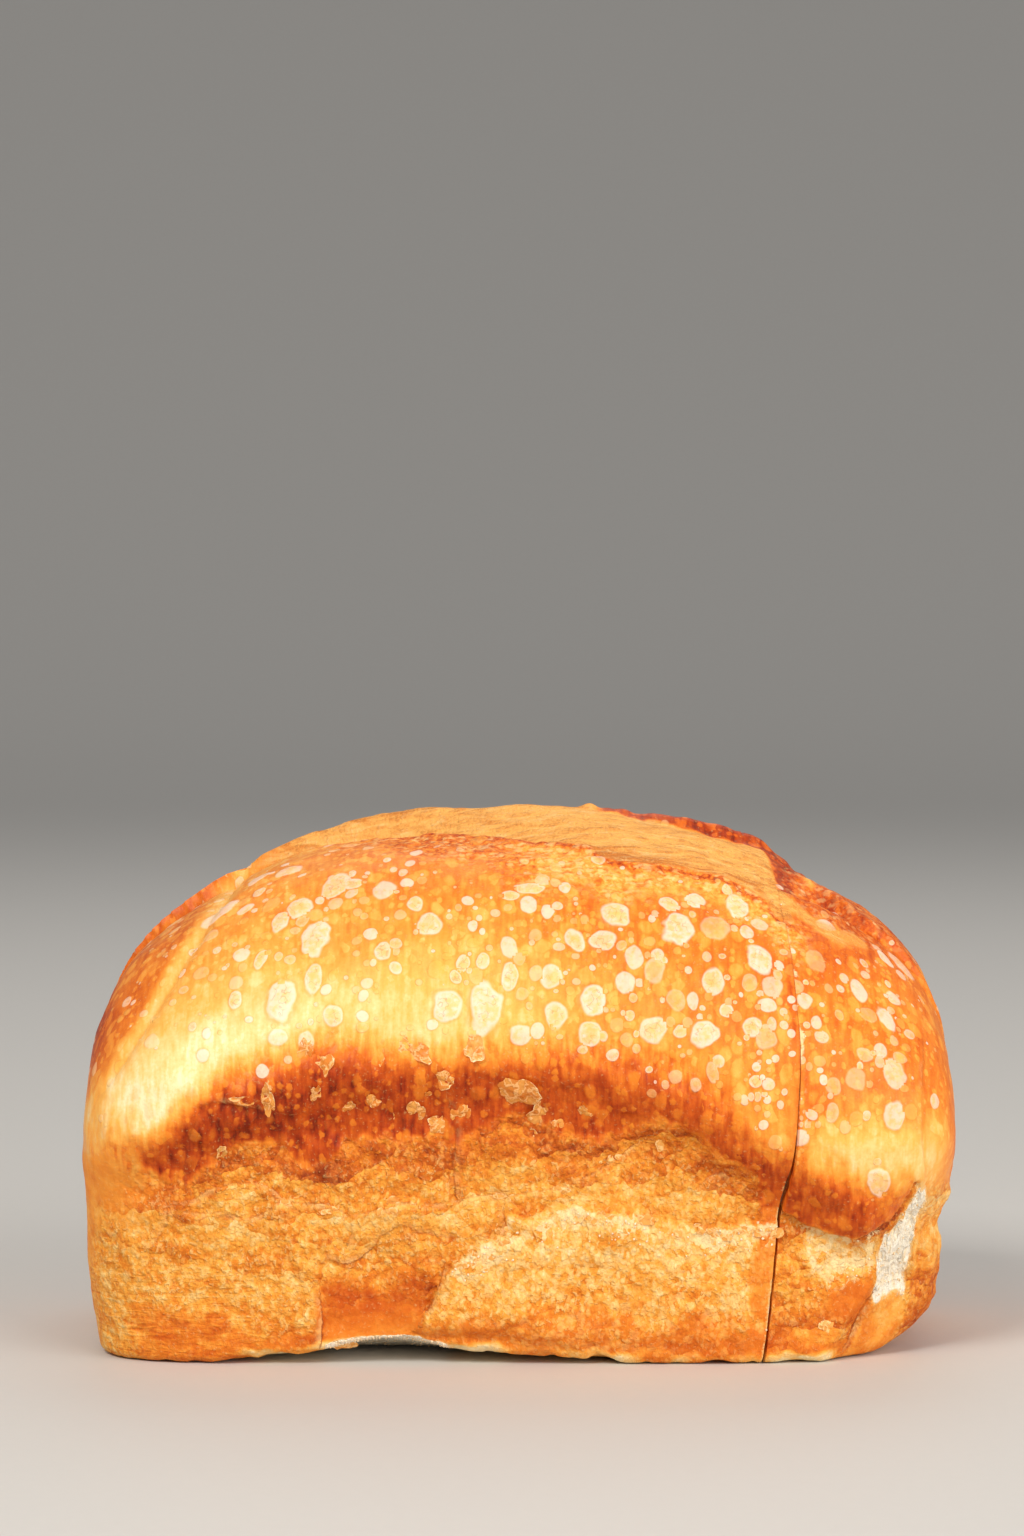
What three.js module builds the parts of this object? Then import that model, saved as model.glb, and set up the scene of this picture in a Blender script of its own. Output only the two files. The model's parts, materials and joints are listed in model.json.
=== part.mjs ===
// A tin-baked loaf of bread with an open score along its top, and the heel slice cut off its right end.
// Millimetres, +Z up. The long side with the dark fold faces -Y. The origin is at the centre of the base.
import * as THREE from "three";
import { ImprovedNoise } from "three/addons/math/ImprovedNoise.js";

const { clamp, lerp, degToRad } = THREE.MathUtils;

// The whole loaf
const HALF_LENGTH = 97.5;
const FRONT_CROWN = 115; // height of the crown in front of the score
const BACK_CROWN = 119.5; // and behind it, where the crust was lifted higher
const SPRING = 50; // height where the crown springs from the wall that the tin shaped
const CROWN_ROUND = 2.1; // exponent of the crown: 2 is an ellipse
const AXIS_HEIGHT = 48; // height of the line that the crust is measured out from

// The wall that the tin shaped
const BASE_HALF_DEPTH = 45.5;
const WALL_FLARE = 4.5; // how much further out the wall is at the spring
const BASE_EDGE = 3.5; // softness of the edge round the base
// Each end: how much shorter it is at the base, where that taper stops, and its squareness in plan
const LEFT_END = { taper: 3, full: 25, corner: 7 };
const RIGHT_END = { taper: 6, full: 35, corner: 4 };
const SHOULDER_CORNER = 7; // squareness in plan of both ends at the spring
const SIDE_CORNER = 6; // squareness in plan of the long sides
const CROWN_PLAN = 2.6; // squareness of the crown, seen from the front
const CROWN_SECTION = 2.6; // and seen from the end

// The fold under each shoulder: an arch that is highest near the middle of the side, and the bulge above it
const FRONT_FOLD = { middle: -9, height: 62, leftDrop: 0.003, rightDrop: 0.0047, bulge: 7, reach: 8 };
const BACK_FOLD = { middle: 5, height: 60, leftDrop: 0.0036, rightDrop: 0.0036, bulge: 5.5, reach: 9 };
// On the heel the front fold climbs again, round the corner.
const HEEL_FOLD = { from: 77, height: 29, slope: 0.75 };

// The open score, from the left shoulder to the right one
const SCORE = { from: -70, to: 82, middle: -8, swing: 18, turns: 1.35 };
const BLOOM = { width: 36, fullAt: 0.75, fadeFrom: 0.84 };
const LIP = { height: 1, width: 8 }; // the front crust's edge
const VALLEY = { depth: 4.5, width: 5 }; // between the front lip and the bloom
const EAR = { height: 1.6, width: 14 }; // the back crust's edge, which stands highest

// The knife cut: where it meets the axis, how far it strays per millimetre across and up, and its gap
const CUT = { at: 48.5, across: -0.203, up: 0.073, gap: 0.8 };

// The crease round the left shoulder, with the end's crust a small step lower than the front's
const CREASE = { at: -66, top: 102, slope: 0.61, depth: 1, width: 2.6, step: 0.6, stepWidth: 12 };
// A thin plate of crust low on the front, with a torn left edge
const PLATE = { left: -3, top: 32, slope: 0.85, edge: 1.6, lift: 1.4, liftAtCut: 0.9 };
// The hollow under the front edge of the base, and the height over which it fades up the wall
const COVE = { middle: -24, half: 24, depth: 26, rise: 4.5, blend: 18 };
// The torn crumb at the heel's front corner, wider and deeper towards the base
const TEAR = { at: 79, slope: 0.36, half: 6, spread: 6, depth: 7, top: 38 };
// Unevenness of the crust, and of the rough wall below the fold
const CRAGS = { size: 9, height: 0.8, shred: 1.3 };

// Facets of each piece: round the loaf, over the rounded end, along the loaf and across the cut face
const LOAF_FACETS = { around: 92, end: 26, body: 30, face: 2 };
const HEEL_FACETS = { around: 68, end: 22, face: 2 };
const TOP_CROWDING = 0.3; // how much closer the facets are on the crown than on the wall
const LEFT_FAN = -45; // where the fan of rays that makes the left end starts

const CRUST = { color: 0xd08a35, roughness: 0.5, metalness: 0 };

const noise = new ImprovedNoise();

// An eased step: 0 at a, 1 at b, whichever of the two is larger.
function ease(a, b, t) {
  const share = clamp((t - a) / (b - a), 0, 1);
  return share * share * (3 - 2 * share);
}

// Height of a fold along the loaf.
function archHeight(fold, x) {
  const drop = x < fold.middle ? fold.leftDrop : fold.rightDrop;
  return fold.height - drop * (x - fold.middle) ** 2;
}

function frontFoldHeight(x) {
  return Math.max(archHeight(FRONT_FOLD, x), HEEL_FOLD.height + HEEL_FOLD.slope * (x - HEEL_FOLD.from));
}

// How far the shoulder above a fold stands out from the wall.
function shoulder(fold, foldHeight, z) {
  return fold.bulge * ease(foldHeight - fold.reach, foldHeight + fold.reach, z);
}

function halfLength(x, z) {
  const end = x < 0 ? LEFT_END : RIGHT_END;
  return HALF_LENGTH - end.taper * (1 - ease(-5, end.full, z));
}

function halfDepth(x, y, z) {
  const wall = BASE_HALF_DEPTH + WALL_FLARE * clamp(z / SPRING, 0, 1);
  const bulge =
    y < 0 ? shoulder(FRONT_FOLD, frontFoldHeight(x), z) : shoulder(BACK_FOLD, archHeight(BACK_FOLD, x), z);
  return wall + bulge;
}

// The score at one place along the loaf: how far along it that is, from 0 to 1, its front lip and its width.
function scoreAt(x) {
  const share = clamp((x - SCORE.from) / (SCORE.to - SCORE.from), 0, 1);
  const lip = SCORE.middle + SCORE.swing * Math.cos(Math.PI * SCORE.turns * share);
  const opening = Math.sin((Math.PI / 2) * Math.min(share / BLOOM.fullAt, 1)) ** 1.3;
  const width = BLOOM.width * opening * (1 - ease(BLOOM.fadeFrom, 1, share)) + 0.5;
  return { share, lip, width };
}

function crownHeight(x, y) {
  const { lip, width } = scoreAt(x);
  return lerp(FRONT_CROWN, BACK_CROWN, ease(lip, lip + width, y));
}

// Rise and fall of the score over the plain crown: the front lip, the valley, the bloom's slope and the ear.
function scoreRise(x, y) {
  const { share, lip, width } = scoreAt(x);
  const open = Math.min(width / 14, 1) * ease(0, 0.12, share) * ease(1, 0.93, share);
  const across = y - lip;
  const floor = Math.min(VALLEY.width, 0.35 * width);
  const ridge = LIP.height * ease(-LIP.width, 0, across) * ease(0.6 * floor, 0, across);
  const valley = VALLEY.depth * ease(0, floor, across) * ease(width, floor, across);
  const ear = EAR.height * ease(0.4 * width, width, across) * ease(width + EAR.width, width, across);
  return open * (ridge - valley + ear);
}

// Under 1 inside the plain loaf, over 1 outside it.
function fullness(p) {
  const rise = Math.max(p.z - SPRING, 0) / (crownHeight(p.x, p.y) - SPRING);
  const end = p.x < 0 ? LEFT_END : RIGHT_END;
  const corner = lerp(end.corner, SHOULDER_CORNER, ease(end.full, SPRING, p.z));
  const plan = lerp(corner, CROWN_PLAN, ease(0, 0.8, rise));
  const section = lerp(SIDE_CORNER, CROWN_SECTION, ease(0, 0.5, rise));
  return (
    Math.abs(p.x / halfLength(p.x, p.z)) ** plan +
    Math.abs(p.y / halfDepth(p.x, p.y, p.z)) ** section +
    rise ** CROWN_ROUND
  );
}

// Distance from a point inside the loaf to the plain crust, found by halving.
function reach(origin, direction) {
  let inside = 0;
  let outside = 2 * HALF_LENGTH;
  const p = new THREE.Vector3();
  for (let i = 0; i < 40; i++) {
    const middle = (inside + outside) / 2;
    p.copy(origin).addScaledVector(direction, middle);
    if (fullness(p) < 1) inside = middle;
    else outside = middle;
  }
  return inside;
}

// The smaller of two lengths, with a rounded change from one to the other.
function softMinimum(a, b, softness) {
  const h = clamp(0.5 + (0.5 * (b - a)) / softness, 0, 1);
  return lerp(b, a, h) - softness * h * (1 - h);
}

// Height of the hollow under the front edge of the base.
function coveHeight(x, y) {
  const hollow = Math.max(1 - ((x - COVE.middle) / COVE.half) ** 2, 0);
  return COVE.rise * hollow * ease(COVE.depth, 0, y + BASE_HALF_DEPTH);
}

// Direction straight out of the plain crust.
function outward(p) {
  const step = 0.5;
  const slope = (axis) => {
    const ahead = p.clone();
    const behind = p.clone();
    ahead[axis] += step;
    behind[axis] -= step;
    return fullness(ahead) - fullness(behind);
  };
  return new THREE.Vector3(slope("x"), slope("y"), slope("z")).normalize();
}

// Height of the crease round the left shoulder, with the end's crust a step lower than the front's.
function creaseRelief(p) {
  const away = p.x - (CREASE.at - CREASE.slope * (CREASE.top - p.z));
  const groove = CREASE.depth * Math.exp(-((away / CREASE.width) ** 2));
  const step = away < 0 ? CREASE.step * Math.exp(away / CREASE.stepWidth) : 0;
  return -(groove + step) * ease(SPRING, SPRING + 25, p.z) * ease(40, 10, p.y);
}

// Where the cut is along the loaf, for the place of a point across it, with the face moved along by a shift.
function cutAt(p, shift) {
  return CUT.at + shift + CUT.across * p.y + CUT.up * (p.z - AXIS_HEIGHT);
}

// Height of the thin plate of crust whose torn left edge leans to the left.
function plateRelief(p) {
  const torn = PLATE.left - PLATE.slope * (PLATE.top - p.z);
  const rightOfEdge = ease(-PLATE.edge, PLATE.edge, p.x - torn);
  const underTop = ease(PLATE.top + PLATE.edge, PLATE.top - PLATE.edge, p.z);
  const lift = lerp(PLATE.lift, PLATE.liftAtCut, ease(torn, CUT.at, p.x));
  return p.y < 0 && p.x < cutAt(p, 0) ? lift * rightOfEdge * underTop : 0;
}

// Depth of the tear at the heel's front corner, which leans to the right and gets shallower as it goes up.
function tearDepth(p) {
  const away = p.x - (TEAR.at + TEAR.slope * p.z);
  const half = TEAR.half + TEAR.spread * ease(25, 0, p.z);
  const across = Math.max(1 - (away / half) ** 2, 0);
  return p.y < 0 ? TEAR.depth * across * ease(TEAR.top, 0, p.z) * Math.min(fullness(p), 1) : 0;
}

// Lumps all over, higher on the rough wall below the fold.
function cragRelief(p) {
  const lump = noise.noise(p.x / CRAGS.size, p.y / CRAGS.size, p.z / CRAGS.size);
  const fold = p.y < 0 ? frontFoldHeight(p.x) : archHeight(BACK_FOLD, p.x);
  return lump * lerp(CRAGS.shred, CRAGS.height, ease(fold - 8, fold + 8, p.z));
}

// The point of the finished crust that a ray from inside the loaf meets.
function crustPoint(origin, direction) {
  const toCrust = reach(origin, direction);
  const toBase = direction.z < -1e-6 ? -origin.z / direction.z : 10 * HALF_LENGTH;
  const p = origin.clone().addScaledVector(direction, softMinimum(toCrust, toBase, BASE_EDGE));
  const clearOfBase = ease(0.5, 8, p.z);
  const relief = creaseRelief(p) + plateRelief(p) + cragRelief(p);
  p.addScaledVector(outward(p), relief * clearOfBase - tearDepth(p));
  p.z += scoreRise(p.x, p.y) * ease(SPRING + 15, SPRING + 40, p.z);
  p.z = Math.max(p.z, 0);
  p.z += coveHeight(p.x, p.y) * Math.max(1 - p.z / COVE.blend, 0) ** 2;
  return p;
}

// A direction across the loaf, in the plane of the cut for a lean of 1 and square to the axis for 0.
function acrossLoaf(angle, lean) {
  const y = -Math.cos(angle);
  const z = Math.sin(angle);
  return new THREE.Vector3(lean * (CUT.across * y + CUT.up * z), y, z);
}


// A closed piece of the loaf: a ball whose points are carried to the places that ringPoint(ring, angle) gives.
function piece(name, around, rings, ringPoint) {
  const geometry = new THREE.SphereGeometry(1, around, rings);
  const { position, uv } = geometry.attributes;
  for (let i = 0; i < position.count; i++) {
    const ring = Math.round((1 - uv.getY(i)) * rings);
    const column = ring % rings ? Math.round(uv.getX(i) * around) % around : 0;
    const turn = (2 * Math.PI * column) / around;
    const p = ringPoint(ring, turn + TOP_CROWDING * Math.cos(turn));
    position.setXYZ(i, p.x, p.y, p.z);
  }
  geometry.deleteAttribute("uv");
  geometry.computeVertexNormals();
  const mesh = new THREE.Mesh(geometry, new THREE.MeshStandardMaterial(CRUST));
  mesh.name = name;
  return mesh;
}

// The loaf from its left end to the cut, with the cut face closed by rings that shrink to its middle.
function loafRing(ring, angle) {
  const { end, body, face } = LOAF_FACETS;
  const origin = new THREE.Vector3(LEFT_FAN, 0, AXIS_HEIGHT);
  if (ring <= end) {
    const turn = degToRad((90 * ring) / end);
    const direction = acrossLoaf(angle, 0).multiplyScalar(Math.sin(turn));
    direction.x = -Math.cos(turn);
    return crustPoint(origin, direction);
  }
  const share = Math.min((ring - end) / body, 1);
  origin.x = lerp(LEFT_FAN, CUT.at - CUT.gap / 2, share);
  const crust = crustPoint(origin, acrossLoaf(angle, share));
  if (share < 1) return crust;
  crust.x = cutAt(crust, -CUT.gap / 2);
  return crust.lerp(origin, (ring - end - body) / face);
}

// The heel from the middle of its cut face to its rounded end.
function heelRing(ring, angle) {
  const { end, face } = HEEL_FACETS;
  const origin = new THREE.Vector3(CUT.at + CUT.gap / 2, 0, AXIS_HEIGHT);
  const turn = degToRad((90 * Math.max(ring - face, 0)) / end);
  const direction = acrossLoaf(angle, 1).multiplyScalar(Math.cos(turn));
  direction.x += Math.sin(turn);
  const crust = crustPoint(origin, direction.normalize());
  if (ring > face) return crust;
  crust.x = cutAt(crust, CUT.gap / 2);
  return origin.clone().lerp(crust, ring / face);
}

const loafRings = LOAF_FACETS.end + LOAF_FACETS.body + LOAF_FACETS.face;
const heelRings = HEEL_FACETS.end + HEEL_FACETS.face;
const bread = new THREE.Group();
bread.add(piece("loaf", LOAF_FACETS.around, loafRings, loafRing));
bread.add(piece("heel_slice", HEEL_FACETS.around, heelRings, heelRing));

// The box round both pieces is centred on the origin and stands on it.
const box = new THREE.Box3().setFromObject(bread);
const middle = box.getCenter(new THREE.Vector3());
for (const mesh of bread.children) {
  mesh.geometry.translate(-middle.x, -middle.y, -box.min.z);
}

export default bread;
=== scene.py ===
"""Looks of a tin-baked loaf of bread: the loaf, its cut heel, peeling skins and loose crumb.

Sizes in the classes are millimetres in the form's own frame, apart from those of the lights and the floor.
The meshes are in metres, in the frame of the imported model.
"""

import json
import logging
import math
from dataclasses import dataclass, field, fields
from enum import Enum

import bpy
import numpy as np
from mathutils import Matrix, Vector

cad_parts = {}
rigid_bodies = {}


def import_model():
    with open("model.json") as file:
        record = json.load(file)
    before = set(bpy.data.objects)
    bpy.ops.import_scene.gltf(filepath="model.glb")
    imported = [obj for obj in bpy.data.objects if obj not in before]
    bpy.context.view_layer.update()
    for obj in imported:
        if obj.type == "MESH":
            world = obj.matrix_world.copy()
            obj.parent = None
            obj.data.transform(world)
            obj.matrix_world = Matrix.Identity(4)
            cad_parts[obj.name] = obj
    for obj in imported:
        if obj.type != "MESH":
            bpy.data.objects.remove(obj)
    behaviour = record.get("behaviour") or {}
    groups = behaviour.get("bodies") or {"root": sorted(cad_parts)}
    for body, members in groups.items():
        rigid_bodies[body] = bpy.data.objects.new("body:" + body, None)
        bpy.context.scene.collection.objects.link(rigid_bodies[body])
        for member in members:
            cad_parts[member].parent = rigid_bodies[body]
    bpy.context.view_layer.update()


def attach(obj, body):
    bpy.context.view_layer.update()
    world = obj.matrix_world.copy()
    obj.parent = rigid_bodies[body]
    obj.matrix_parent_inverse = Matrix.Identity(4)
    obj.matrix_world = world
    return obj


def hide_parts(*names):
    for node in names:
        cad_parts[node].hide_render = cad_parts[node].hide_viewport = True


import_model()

Array = np.ndarray
Colour = tuple[float, float, float]
Path = tuple[tuple[float, float], ...]
Size = float | tuple[float, float, float]
Socket = bpy.types.NodeSocket
Tint = Colour | Socket

MM = 0.001
FACING_FRONT = 0.2
OUT_OF_REACH = 1e4
LOG = logging.getLogger("loaf")


class Slot(Enum):
    """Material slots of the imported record."""

    CRUST = "crust"
    HEEL = "heel_crust"
    FLAKE = "flake"
    CRUMB = "crumb"


def ease(start: float | Array, end: float | Array, value: Array) -> Array:
    """Smooth step: 3 s squared less 2 s cubed, with s the share of the way, held from 0 to 1.

    Args:
        start: where the step is 0.
        end: where the step is 1, on either side of start.
        value: where it is read.

    Returns:
        The step, from 0 to 1.
    """
    share = np.clip((value - start) / (end - start), 0, 1)
    return share * share * (3 - 2 * share)


def blend(low: float | Array, high: float | Array, share: Array) -> Array:
    """The value that lies the given share of the way from low to high."""
    return low + (high - low) * share


def ridge(distance: Array, width: float | Array) -> Array:
    """Bell that is 1 at no distance and falls with the square of the distance over the width."""
    return np.exp(-((distance / width) ** 2))


def unit(vectors: Array) -> Array:
    """Vectors of length 1 in the same directions."""
    return vectors / np.linalg.norm(vectors, axis=-1, keepdims=True)


def off_front(outs: Array) -> Array:
    """A large number for each direction that faces away from the front, so that its point isn't chosen."""
    return np.where(outs[:, 1] < FACING_FRONT, 0, OUT_OF_REACH)


def linear(*red_green_blue: float) -> Colour:
    """Linear colour of a display colour given from 0 to 255."""
    share = np.array(red_green_blue) / 255
    value = np.where(share < 0.04045, share / 12.92, ((share + 0.055) / 1.055) ** 2.4)
    return tuple(float(v) for v in value)


@dataclass(frozen=True)
class Grain:
    """Seeded smooth noise from -1 to 1 on a cubic lattice of random values."""

    seed: int

    TURN = np.array([[0.36, 0.48, -0.8], [-0.8, 0.6, 0.0], [0.48, 0.64, 0.6]])

    def corner(self, cell: Array) -> Array:
        """Random value of each lattice corner: its whole numbers mixed by multiplying and shifting.

        Args:
            cell: whole numbers of the corners, three in the last axis.

        Returns:
            A value from -1 to 1 for each corner.
        """
        whole = cell.astype(np.int64).astype(np.uint32)
        mixed = whole[..., 0] * np.uint32(0x9E3779B1)
        mixed ^= whole[..., 1] * np.uint32(0x85EBCA77)
        mixed ^= whole[..., 2] * np.uint32(0xC2B2AE3D)
        mixed ^= np.uint32(self.seed * 0x27D4EB2F & 0xFFFFFFFF)
        mixed = (mixed ^ (mixed >> np.uint32(15))) * np.uint32(0x2C1B3C6D)
        mixed = (mixed ^ (mixed >> np.uint32(12))) * np.uint32(0x297A2D39)
        return (mixed ^ (mixed >> np.uint32(15))) / 2.0**31 - 1

    def at(self, points: Array, size: Size) -> Array:
        """Noise with lumps of the given size: the eight corners round a point, blended by eased shares.

        Args:
            points: places, three coordinates in the last axis.
            size: size of the lumps, or one size for each axis.

        Returns:
            A value from -1 to 1 for each point.
        """
        turned = points @ self.TURN if np.isscalar(size) else points
        place = turned / np.asarray(size, float)
        cell = np.floor(place)
        part = place - cell
        share = part**3 * (part * (part * 6 - 15) + 10)
        total = np.zeros(points.shape[:-1])
        for offset in np.ndindex(2, 2, 2):
            weight = np.prod(np.where(np.array(offset) == 1, share, 1 - share), axis=-1)
            total += weight * self.corner(cell + np.array(offset))
        return total

    def rough(self, points: Array, size: float, layers: int) -> Array:
        """Noise in layers, each half as large and half as high as the one before."""
        return sum(self.at(points + 31.7 * k, size / 2**k) / 2**k for k in range(layers))


@dataclass(frozen=True)
class Fold:
    """Arched edge where the risen crown overhangs the wall that stood in the tin."""

    middle: float
    height: float
    left_drop: float
    right_drop: float
    bulge: float
    reach: float

    def line(self, x: Array) -> Array:
        """Height of the arch: its top, less a drop that grows with the square of the way from its middle."""
        drop = np.where(x < self.middle, self.left_drop, self.right_drop)
        return self.height - drop * (x - self.middle) ** 2


@dataclass(frozen=True)
class TinEnd:
    """One end of the loaf: how much it narrows to the base, where it is full, and its squareness."""

    taper: float
    full: float
    corner: float


@dataclass(frozen=True)
class Score:
    """The baker's slash along the top: its run, its swing, and the bloom that opened behind its lip."""

    start: float = -70.0
    end: float = 82.0
    middle: float = -8.0
    swing: float = 18.0
    turns: float = 1.35
    bloom: float = 36.0
    full_at: float = 0.75
    opening: float = 1.3
    fade_from: float = 0.84
    lip_height: float = 1.0
    lip_width: float = 8.0
    valley_depth: float = 4.5
    valley_width: float = 5.0
    ear_height: float = 1.6
    ear_width: float = 14.0

    def at(self, x: Array) -> tuple[Array, Array, Array]:
        """Share of the way along the score, its lip as a cosine swing, and its width, which opens and fades.

        Args:
            x: places along the loaf.

        Returns:
            Share, lip and width for each place.
        """
        share = np.clip((x - self.start) / (self.end - self.start), 0, 1)
        lip = self.middle + self.swing * np.cos(np.pi * self.turns * share)
        opened = np.sin(np.pi / 2 * np.minimum(share / self.full_at, 1)) ** self.opening
        return share, lip, self.bloom * opened * (1 - ease(self.fade_from, 1, share)) + 0.5

    def rise(self, x: Array, y: Array) -> Array:
        """Height over the plain crown: a ridge at the lip, less the valley behind it, plus the ear.

        Args:
            x: places along the loaf.
            y: places across it.

        Returns:
            Height for each place.
        """
        share, lip, width = self.at(x)
        opened = np.minimum(width / 14, 1) * ease(0, 0.12, share) * ease(1, 0.93, share)
        across = y - lip
        floor = np.minimum(self.valley_width, 0.35 * width)
        lip_ridge = self.lip_height * ease(-self.lip_width, 0, across) * ease(0.6 * floor, 0 * floor, across)
        valley = self.valley_depth * ease(0 * floor, floor, across) * ease(width, floor, across)
        ear = self.ear_height * ease(0.4 * width, width, across) * ease(width + self.ear_width, width, across)
        return opened * (lip_ridge - valley + ear)


@dataclass(frozen=True)
class LoafForm:
    """The loaf's main form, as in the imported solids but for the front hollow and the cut's narrow top."""

    half_length: float = 97.5
    front_crown: float = 115.0
    back_crown: float = 119.5
    spring: float = 50.0
    crown_round: float = 2.1
    axis_height: float = 48.0
    base_half_depth: float = 45.5
    wall_flare: float = 4.5
    base_edge: float = 3.5
    left: TinEnd = TinEnd(3.0, 25.0, 7.0)
    right: TinEnd = TinEnd(6.0, 35.0, 4.0)
    shoulder_corner: float = 7.0
    side_corner: float = 6.0
    crown_plan: float = 2.6
    crown_section: float = 2.6
    front: Fold = Fold(-9.0, 62.0, 0.003, 0.0047, 7.0, 8.0)
    back: Fold = Fold(5.0, 60.0, 0.0036, 0.0036, 5.5, 9.0)
    score: Score = Score()
    cut_at: float = 48.5
    cut_across: float = -0.203
    cut_up: float = 0.073
    cut_gap: float = 0.8
    cut_gap_top: float = 0.1
    cut_narrows: tuple[float, float] = (38.0, 58.0)
    cut_ends: tuple[float, float] = (88.0, 97.0)
    cut_end_share: float = 0.2
    climb_at: float = 77.0
    climb_height: float = 29.0
    climb_slope: float = 0.75
    crease_at: float = -66.0
    crease_top: float = 102.0
    crease_slope: float = 0.61
    tear_at: float = 79.0
    tear_slope: float = 0.36
    tear_half: float = 6.0
    tear_spread: float = 6.0
    tear_depth: float = 4.8
    tear_top: float = 38.0
    cove_middle: float = -21.0
    cove_half: float = 45.0
    cove_rise: float = 2.4
    cove_peak: float = 3.4
    cove_peak_at: float = -30.0
    cove_peak_half: float = 13.0
    cove_depth: float = 26.0
    cove_blend: float = 18.0
    centring: tuple[float, float, float] = (0.05, 0.736, 0.0)

    def front_fold(self, x: Array) -> Array:
        """Front fold: its arch, or near the right end the line that climbs over the tear."""
        return np.maximum(self.front.line(x), self.climb_height + self.climb_slope * (x - self.climb_at))

    def fold(self, x: Array, y: Array) -> Array:
        """Height of the fold on the side that a place is on."""
        return np.where(y < 0, self.front_fold(x), self.back.line(x))

    def cut(self, y: Array, z: Array, side: float = 0.0) -> Array:
        """Place of the cut along the loaf: a plane that leans with y and z, or one face of its gap.

        Args:
            y: places across the loaf.
            z: places up it.
            side: -1 for the loaf's face, 1 for the heel's and 0 for the middle of the gap.

        Returns:
            The place along x.
        """
        gap = blend(self.cut_gap, self.cut_gap_top, ease(*self.cut_narrows, z))
        gap = gap * blend(1, self.cut_end_share, ease(*self.cut_ends, z))
        return self.cut_at + side * gap / 2 + self.cut_across * y + self.cut_up * (z - self.axis_height)

    def fullness(self, p: Array) -> Array:
        """Sum of three powers that is 1 on the plain crust.

        They are of x over the half length, y over the half depth, and the rise over the crown's. The half
        length narrows to the base, the half depth flares up the wall and bulges over the fold, and the
        powers fall from square corners at the wall to round ones at the crown.

        Args:
            p: places, three coordinates in the last axis.

        Returns:
            Under 1 inside the plain loaf and over 1 outside it.
        """
        x, y, z = np.moveaxis(p, -1, 0)
        _, lip, width = self.score.at(x)
        crown = blend(self.front_crown, self.back_crown, ease(lip, lip + width, y))
        rise = np.maximum(z - self.spring, 0) / (crown - self.spring)
        is_left = x < 0
        full = np.where(is_left, self.left.full, self.right.full)
        taper = np.where(is_left, self.left.taper, self.right.taper)
        square = np.where(is_left, self.left.corner, self.right.corner)
        length = self.half_length - taper * (1 - ease(-5, full, z))
        is_front = y < 0
        fold = self.fold(x, y)
        reach = np.where(is_front, self.front.reach, self.back.reach)
        bulge = np.where(is_front, self.front.bulge, self.back.bulge)
        wall = self.base_half_depth + self.wall_flare * np.clip(z / self.spring, 0, 1)
        depth = wall + bulge * ease(fold - reach, fold + reach, z)
        corner = blend(square, self.shoulder_corner, ease(full, self.spring, z))
        plan = blend(corner, self.crown_plan, ease(0, 0.8, rise))
        section = blend(self.side_corner, self.crown_section, ease(0, 0.5, rise))
        return np.abs(x / length) ** plan + np.abs(y / depth) ** section + rise**self.crown_round

    def outward(self, p: Array) -> Array:
        """Direction straight out of the plain crust: the slope of the fullness over a millimetre."""
        steps = 0.5 * np.eye(3)
        slopes = [self.fullness(p + step) - self.fullness(p - step) for step in steps]
        return unit(np.stack(slopes, axis=-1) + 1e-12)

    def meet(self, origin: Array, direction: Array) -> Array:
        """Where rays from inside meet the plain crust, found by halving, or the base, with a rounded edge.

        Args:
            origin: start of each ray.
            direction: direction of each ray.

        Returns:
            The points.
        """
        inside = np.zeros(direction.shape[:-1])
        outside = inside + 2 * self.half_length
        for _ in range(30):
            middle = (inside + outside) / 2
            within = self.fullness(origin + direction * middle[..., None]) < 1
            inside = np.where(within, middle, inside)
            outside = np.where(within, outside, middle)
        down = np.minimum(direction[..., 2], -1e-6)
        to_base = np.where(direction[..., 2] < -1e-6, -origin[..., 2] / down, 10 * self.half_length)
        share = np.clip(0.5 + 0.5 * (to_base - inside) / self.base_edge, 0, 1)
        length = blend(to_base, inside, share) - self.base_edge * share * (1 - share)
        return origin + direction * length[..., None]

    def cove(self, x: Array, y: Array) -> Array:
        """Height of the hollow under the front edge: a wide parabola and a bell, fading inwards."""
        wide = np.maximum(1 - ((x - self.cove_middle) / self.cove_half) ** 2, 0)
        rise = self.cove_rise * wide + self.cove_peak * ridge(x - self.cove_peak_at, self.cove_peak_half)
        return rise * ease(self.cove_depth, 0, y + self.base_half_depth)

    def across(self, angle: Array, lean: Array) -> Array:
        """Directions across the loaf, square to its axis for lean 0 and in the plane of the cut for 1."""
        y = -np.cos(angle)
        z = np.sin(angle)
        return np.stack(np.broadcast_arrays(lean * (self.cut_across * y + self.cut_up * z), y, z), axis=-1)


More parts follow.
